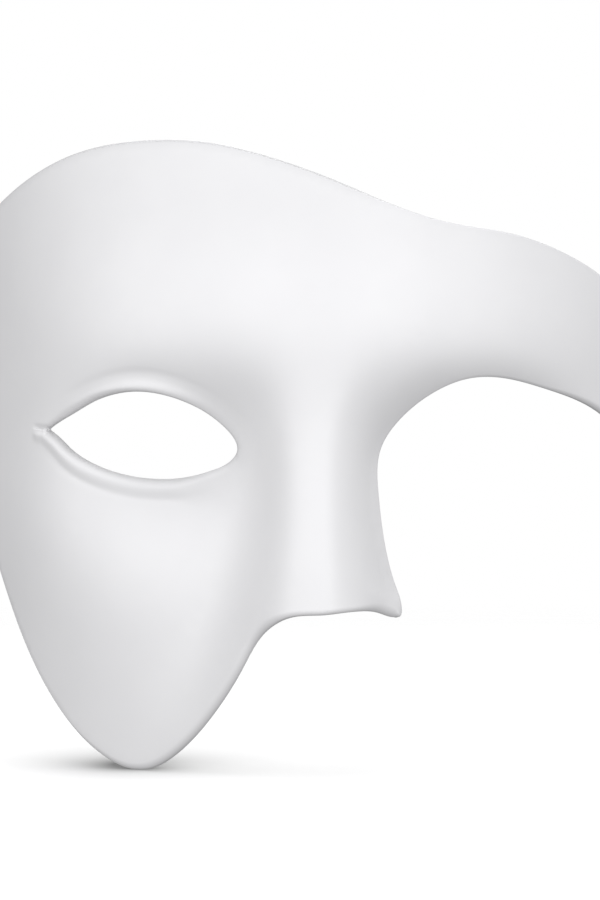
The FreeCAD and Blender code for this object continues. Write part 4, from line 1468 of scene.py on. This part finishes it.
def make_floor():
    """The floor throws no light back up, so the mask's lower rims stay dark."""
    level = CAD_BOX[0].z / MM - 0.05
    half = FLOOR_SIZE / 2.0
    corners = [(-half, -half, level), (half, -half, level), (half, half, level), (-half, half, level)]
    floor = new_object("floor", corners, [(0, 1, 2, 3)], smooth=False)
    floor.data.materials.append(floor_material())
    floor.visible_diffuse = False
    floor.visible_glossy = False
    return floor


def softbox(name, azimuth, elevation, distance, size, power, lights_floor, floor):
    """Round soft light that falls either on the floor only or on everything but the floor."""
    a, e = math.radians(azimuth), math.radians(elevation)
    way = Vector((math.cos(e) * math.sin(a), -math.cos(e) * math.cos(a), math.sin(e)))
    data = bpy.data.lights.new(name, "AREA")
    data.shape = "DISK"
    data.size = size * MM
    data.energy = power
    data.use_shadow = not lights_floor
    light = bpy.data.objects.new(name, data)
    light.location = way * distance * MM
    light.rotation_euler = (Vector(LIGHT_AIM) * MM - light.location).to_track_quat("-Z", "Y").to_euler()
    bpy.context.scene.collection.objects.link(light)
    receivers = bpy.data.collections.new(name + "_receivers")
    receivers.objects.link(floor)
    if not lights_floor:
        receivers.collection_objects[0].light_linking.link_state = "EXCLUDE"
    light.light_linking.receiver_collection = receivers


def make_world():
    """Weak white light from all round, seen as plain white."""
    world = bpy.data.worlds.new("studio")
    bpy.context.scene.world = world
    world.use_nodes = True
    tree = world.node_tree
    white = (1.0, 1.0, 1.0, 1.0)
    lighting, seen = (
        add_node(tree, "ShaderNodeBackground", {"Color": white, "Strength": strength}).outputs["Background"]
        for strength in (WORLD_LIGHT, 1.0)
    )
    path = add_node(tree, "ShaderNodeLightPath").outputs["Is Camera Ray"]
    mix = add_node(tree, "ShaderNodeMixShader", {"Fac": path, 1: lighting, 2: seen})
    tree.links.new(mix.outputs["Shader"], tree.nodes["World Output"].inputs["Surface"])


def make_light(floor):
    make_world()
    for name, azimuth, elevation, power in SOFTBOXES:
        softbox(name, azimuth, elevation, LIGHT_DISTANCE, SOFTBOX_SIZE, power, False, floor)
    softbox("floor_light", 0.0, 90.0, FLOOR_LIGHT_HEIGHT, FLOOR_LIGHT_SIZE, FLOOR_LIGHT_POWER, True, floor)
    bpy.context.scene.view_settings.view_transform = "Standard"


# ---------- the model ----------

make_camera()
make_light(make_floor())

LOOKS = {"shell": shell_material(), "foam": foam_material(), "elastic": elastic_material(), **plain_looks()}


def show(piece, body, slot, *nodes):
    piece.data.materials.append(LOOKS[slot].material)
    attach(piece, body)
    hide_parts(*nodes)


shell = make_shell()
show(shell, "mask", "shell", "mask_shell")
shell.data.materials.append(LOOKS["back"].material)
shell.data.polygons.foreach_set("material_index", back_side(shell))

for pad_name, pad_centre, pad_half, pad_tilt in PADS:
    pad = pad_mesh(pad_name, pad_centre, pad_half, pad_tilt)
    show(pad, "mask", "foam", pad_name)
    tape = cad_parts[pad_name + "_adhesive"]
    tape.data.materials.clear()
    tape.data.materials.append(LOOKS["adhesive"].material)

short_rows = short_strap()
tail_piece = ribbon("elastic_tail", tail())
show(ribbon("elastic_long", long_strap()), "mask", "elastic", "strap_long")
show(ribbon("elastic_short", short_rows), "mask", "elastic", "strap_short")
show(ribbon("elastic_loop", tail_loop()), "slider", "elastic", "strap_tail_loop")
show(tail_piece, "mask", "elastic", "strap_tail")
show(loop_thread(), "slider", "thread", "loop_stitches")
show(end_thread(short_rows[-1]), "mask", "thread", "end_stitches")
show(make_slider(), "slider", "hardware", "strap_slider")
show(make_ring(), "mask", "hardware", "strap_ring")
for side, anchor_x in zip(("right", "left"), ANCHOR_X):
    show(lathe("rivet_body_" + side, rivet_profile(), anchor_x, False), "mask", "rivet", "rivet_" + side)
    show(lathe("washer_" + side, washer_profile(), anchor_x, True), "mask", "washer", "rivet_washer_" + side)

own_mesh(tail_piece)
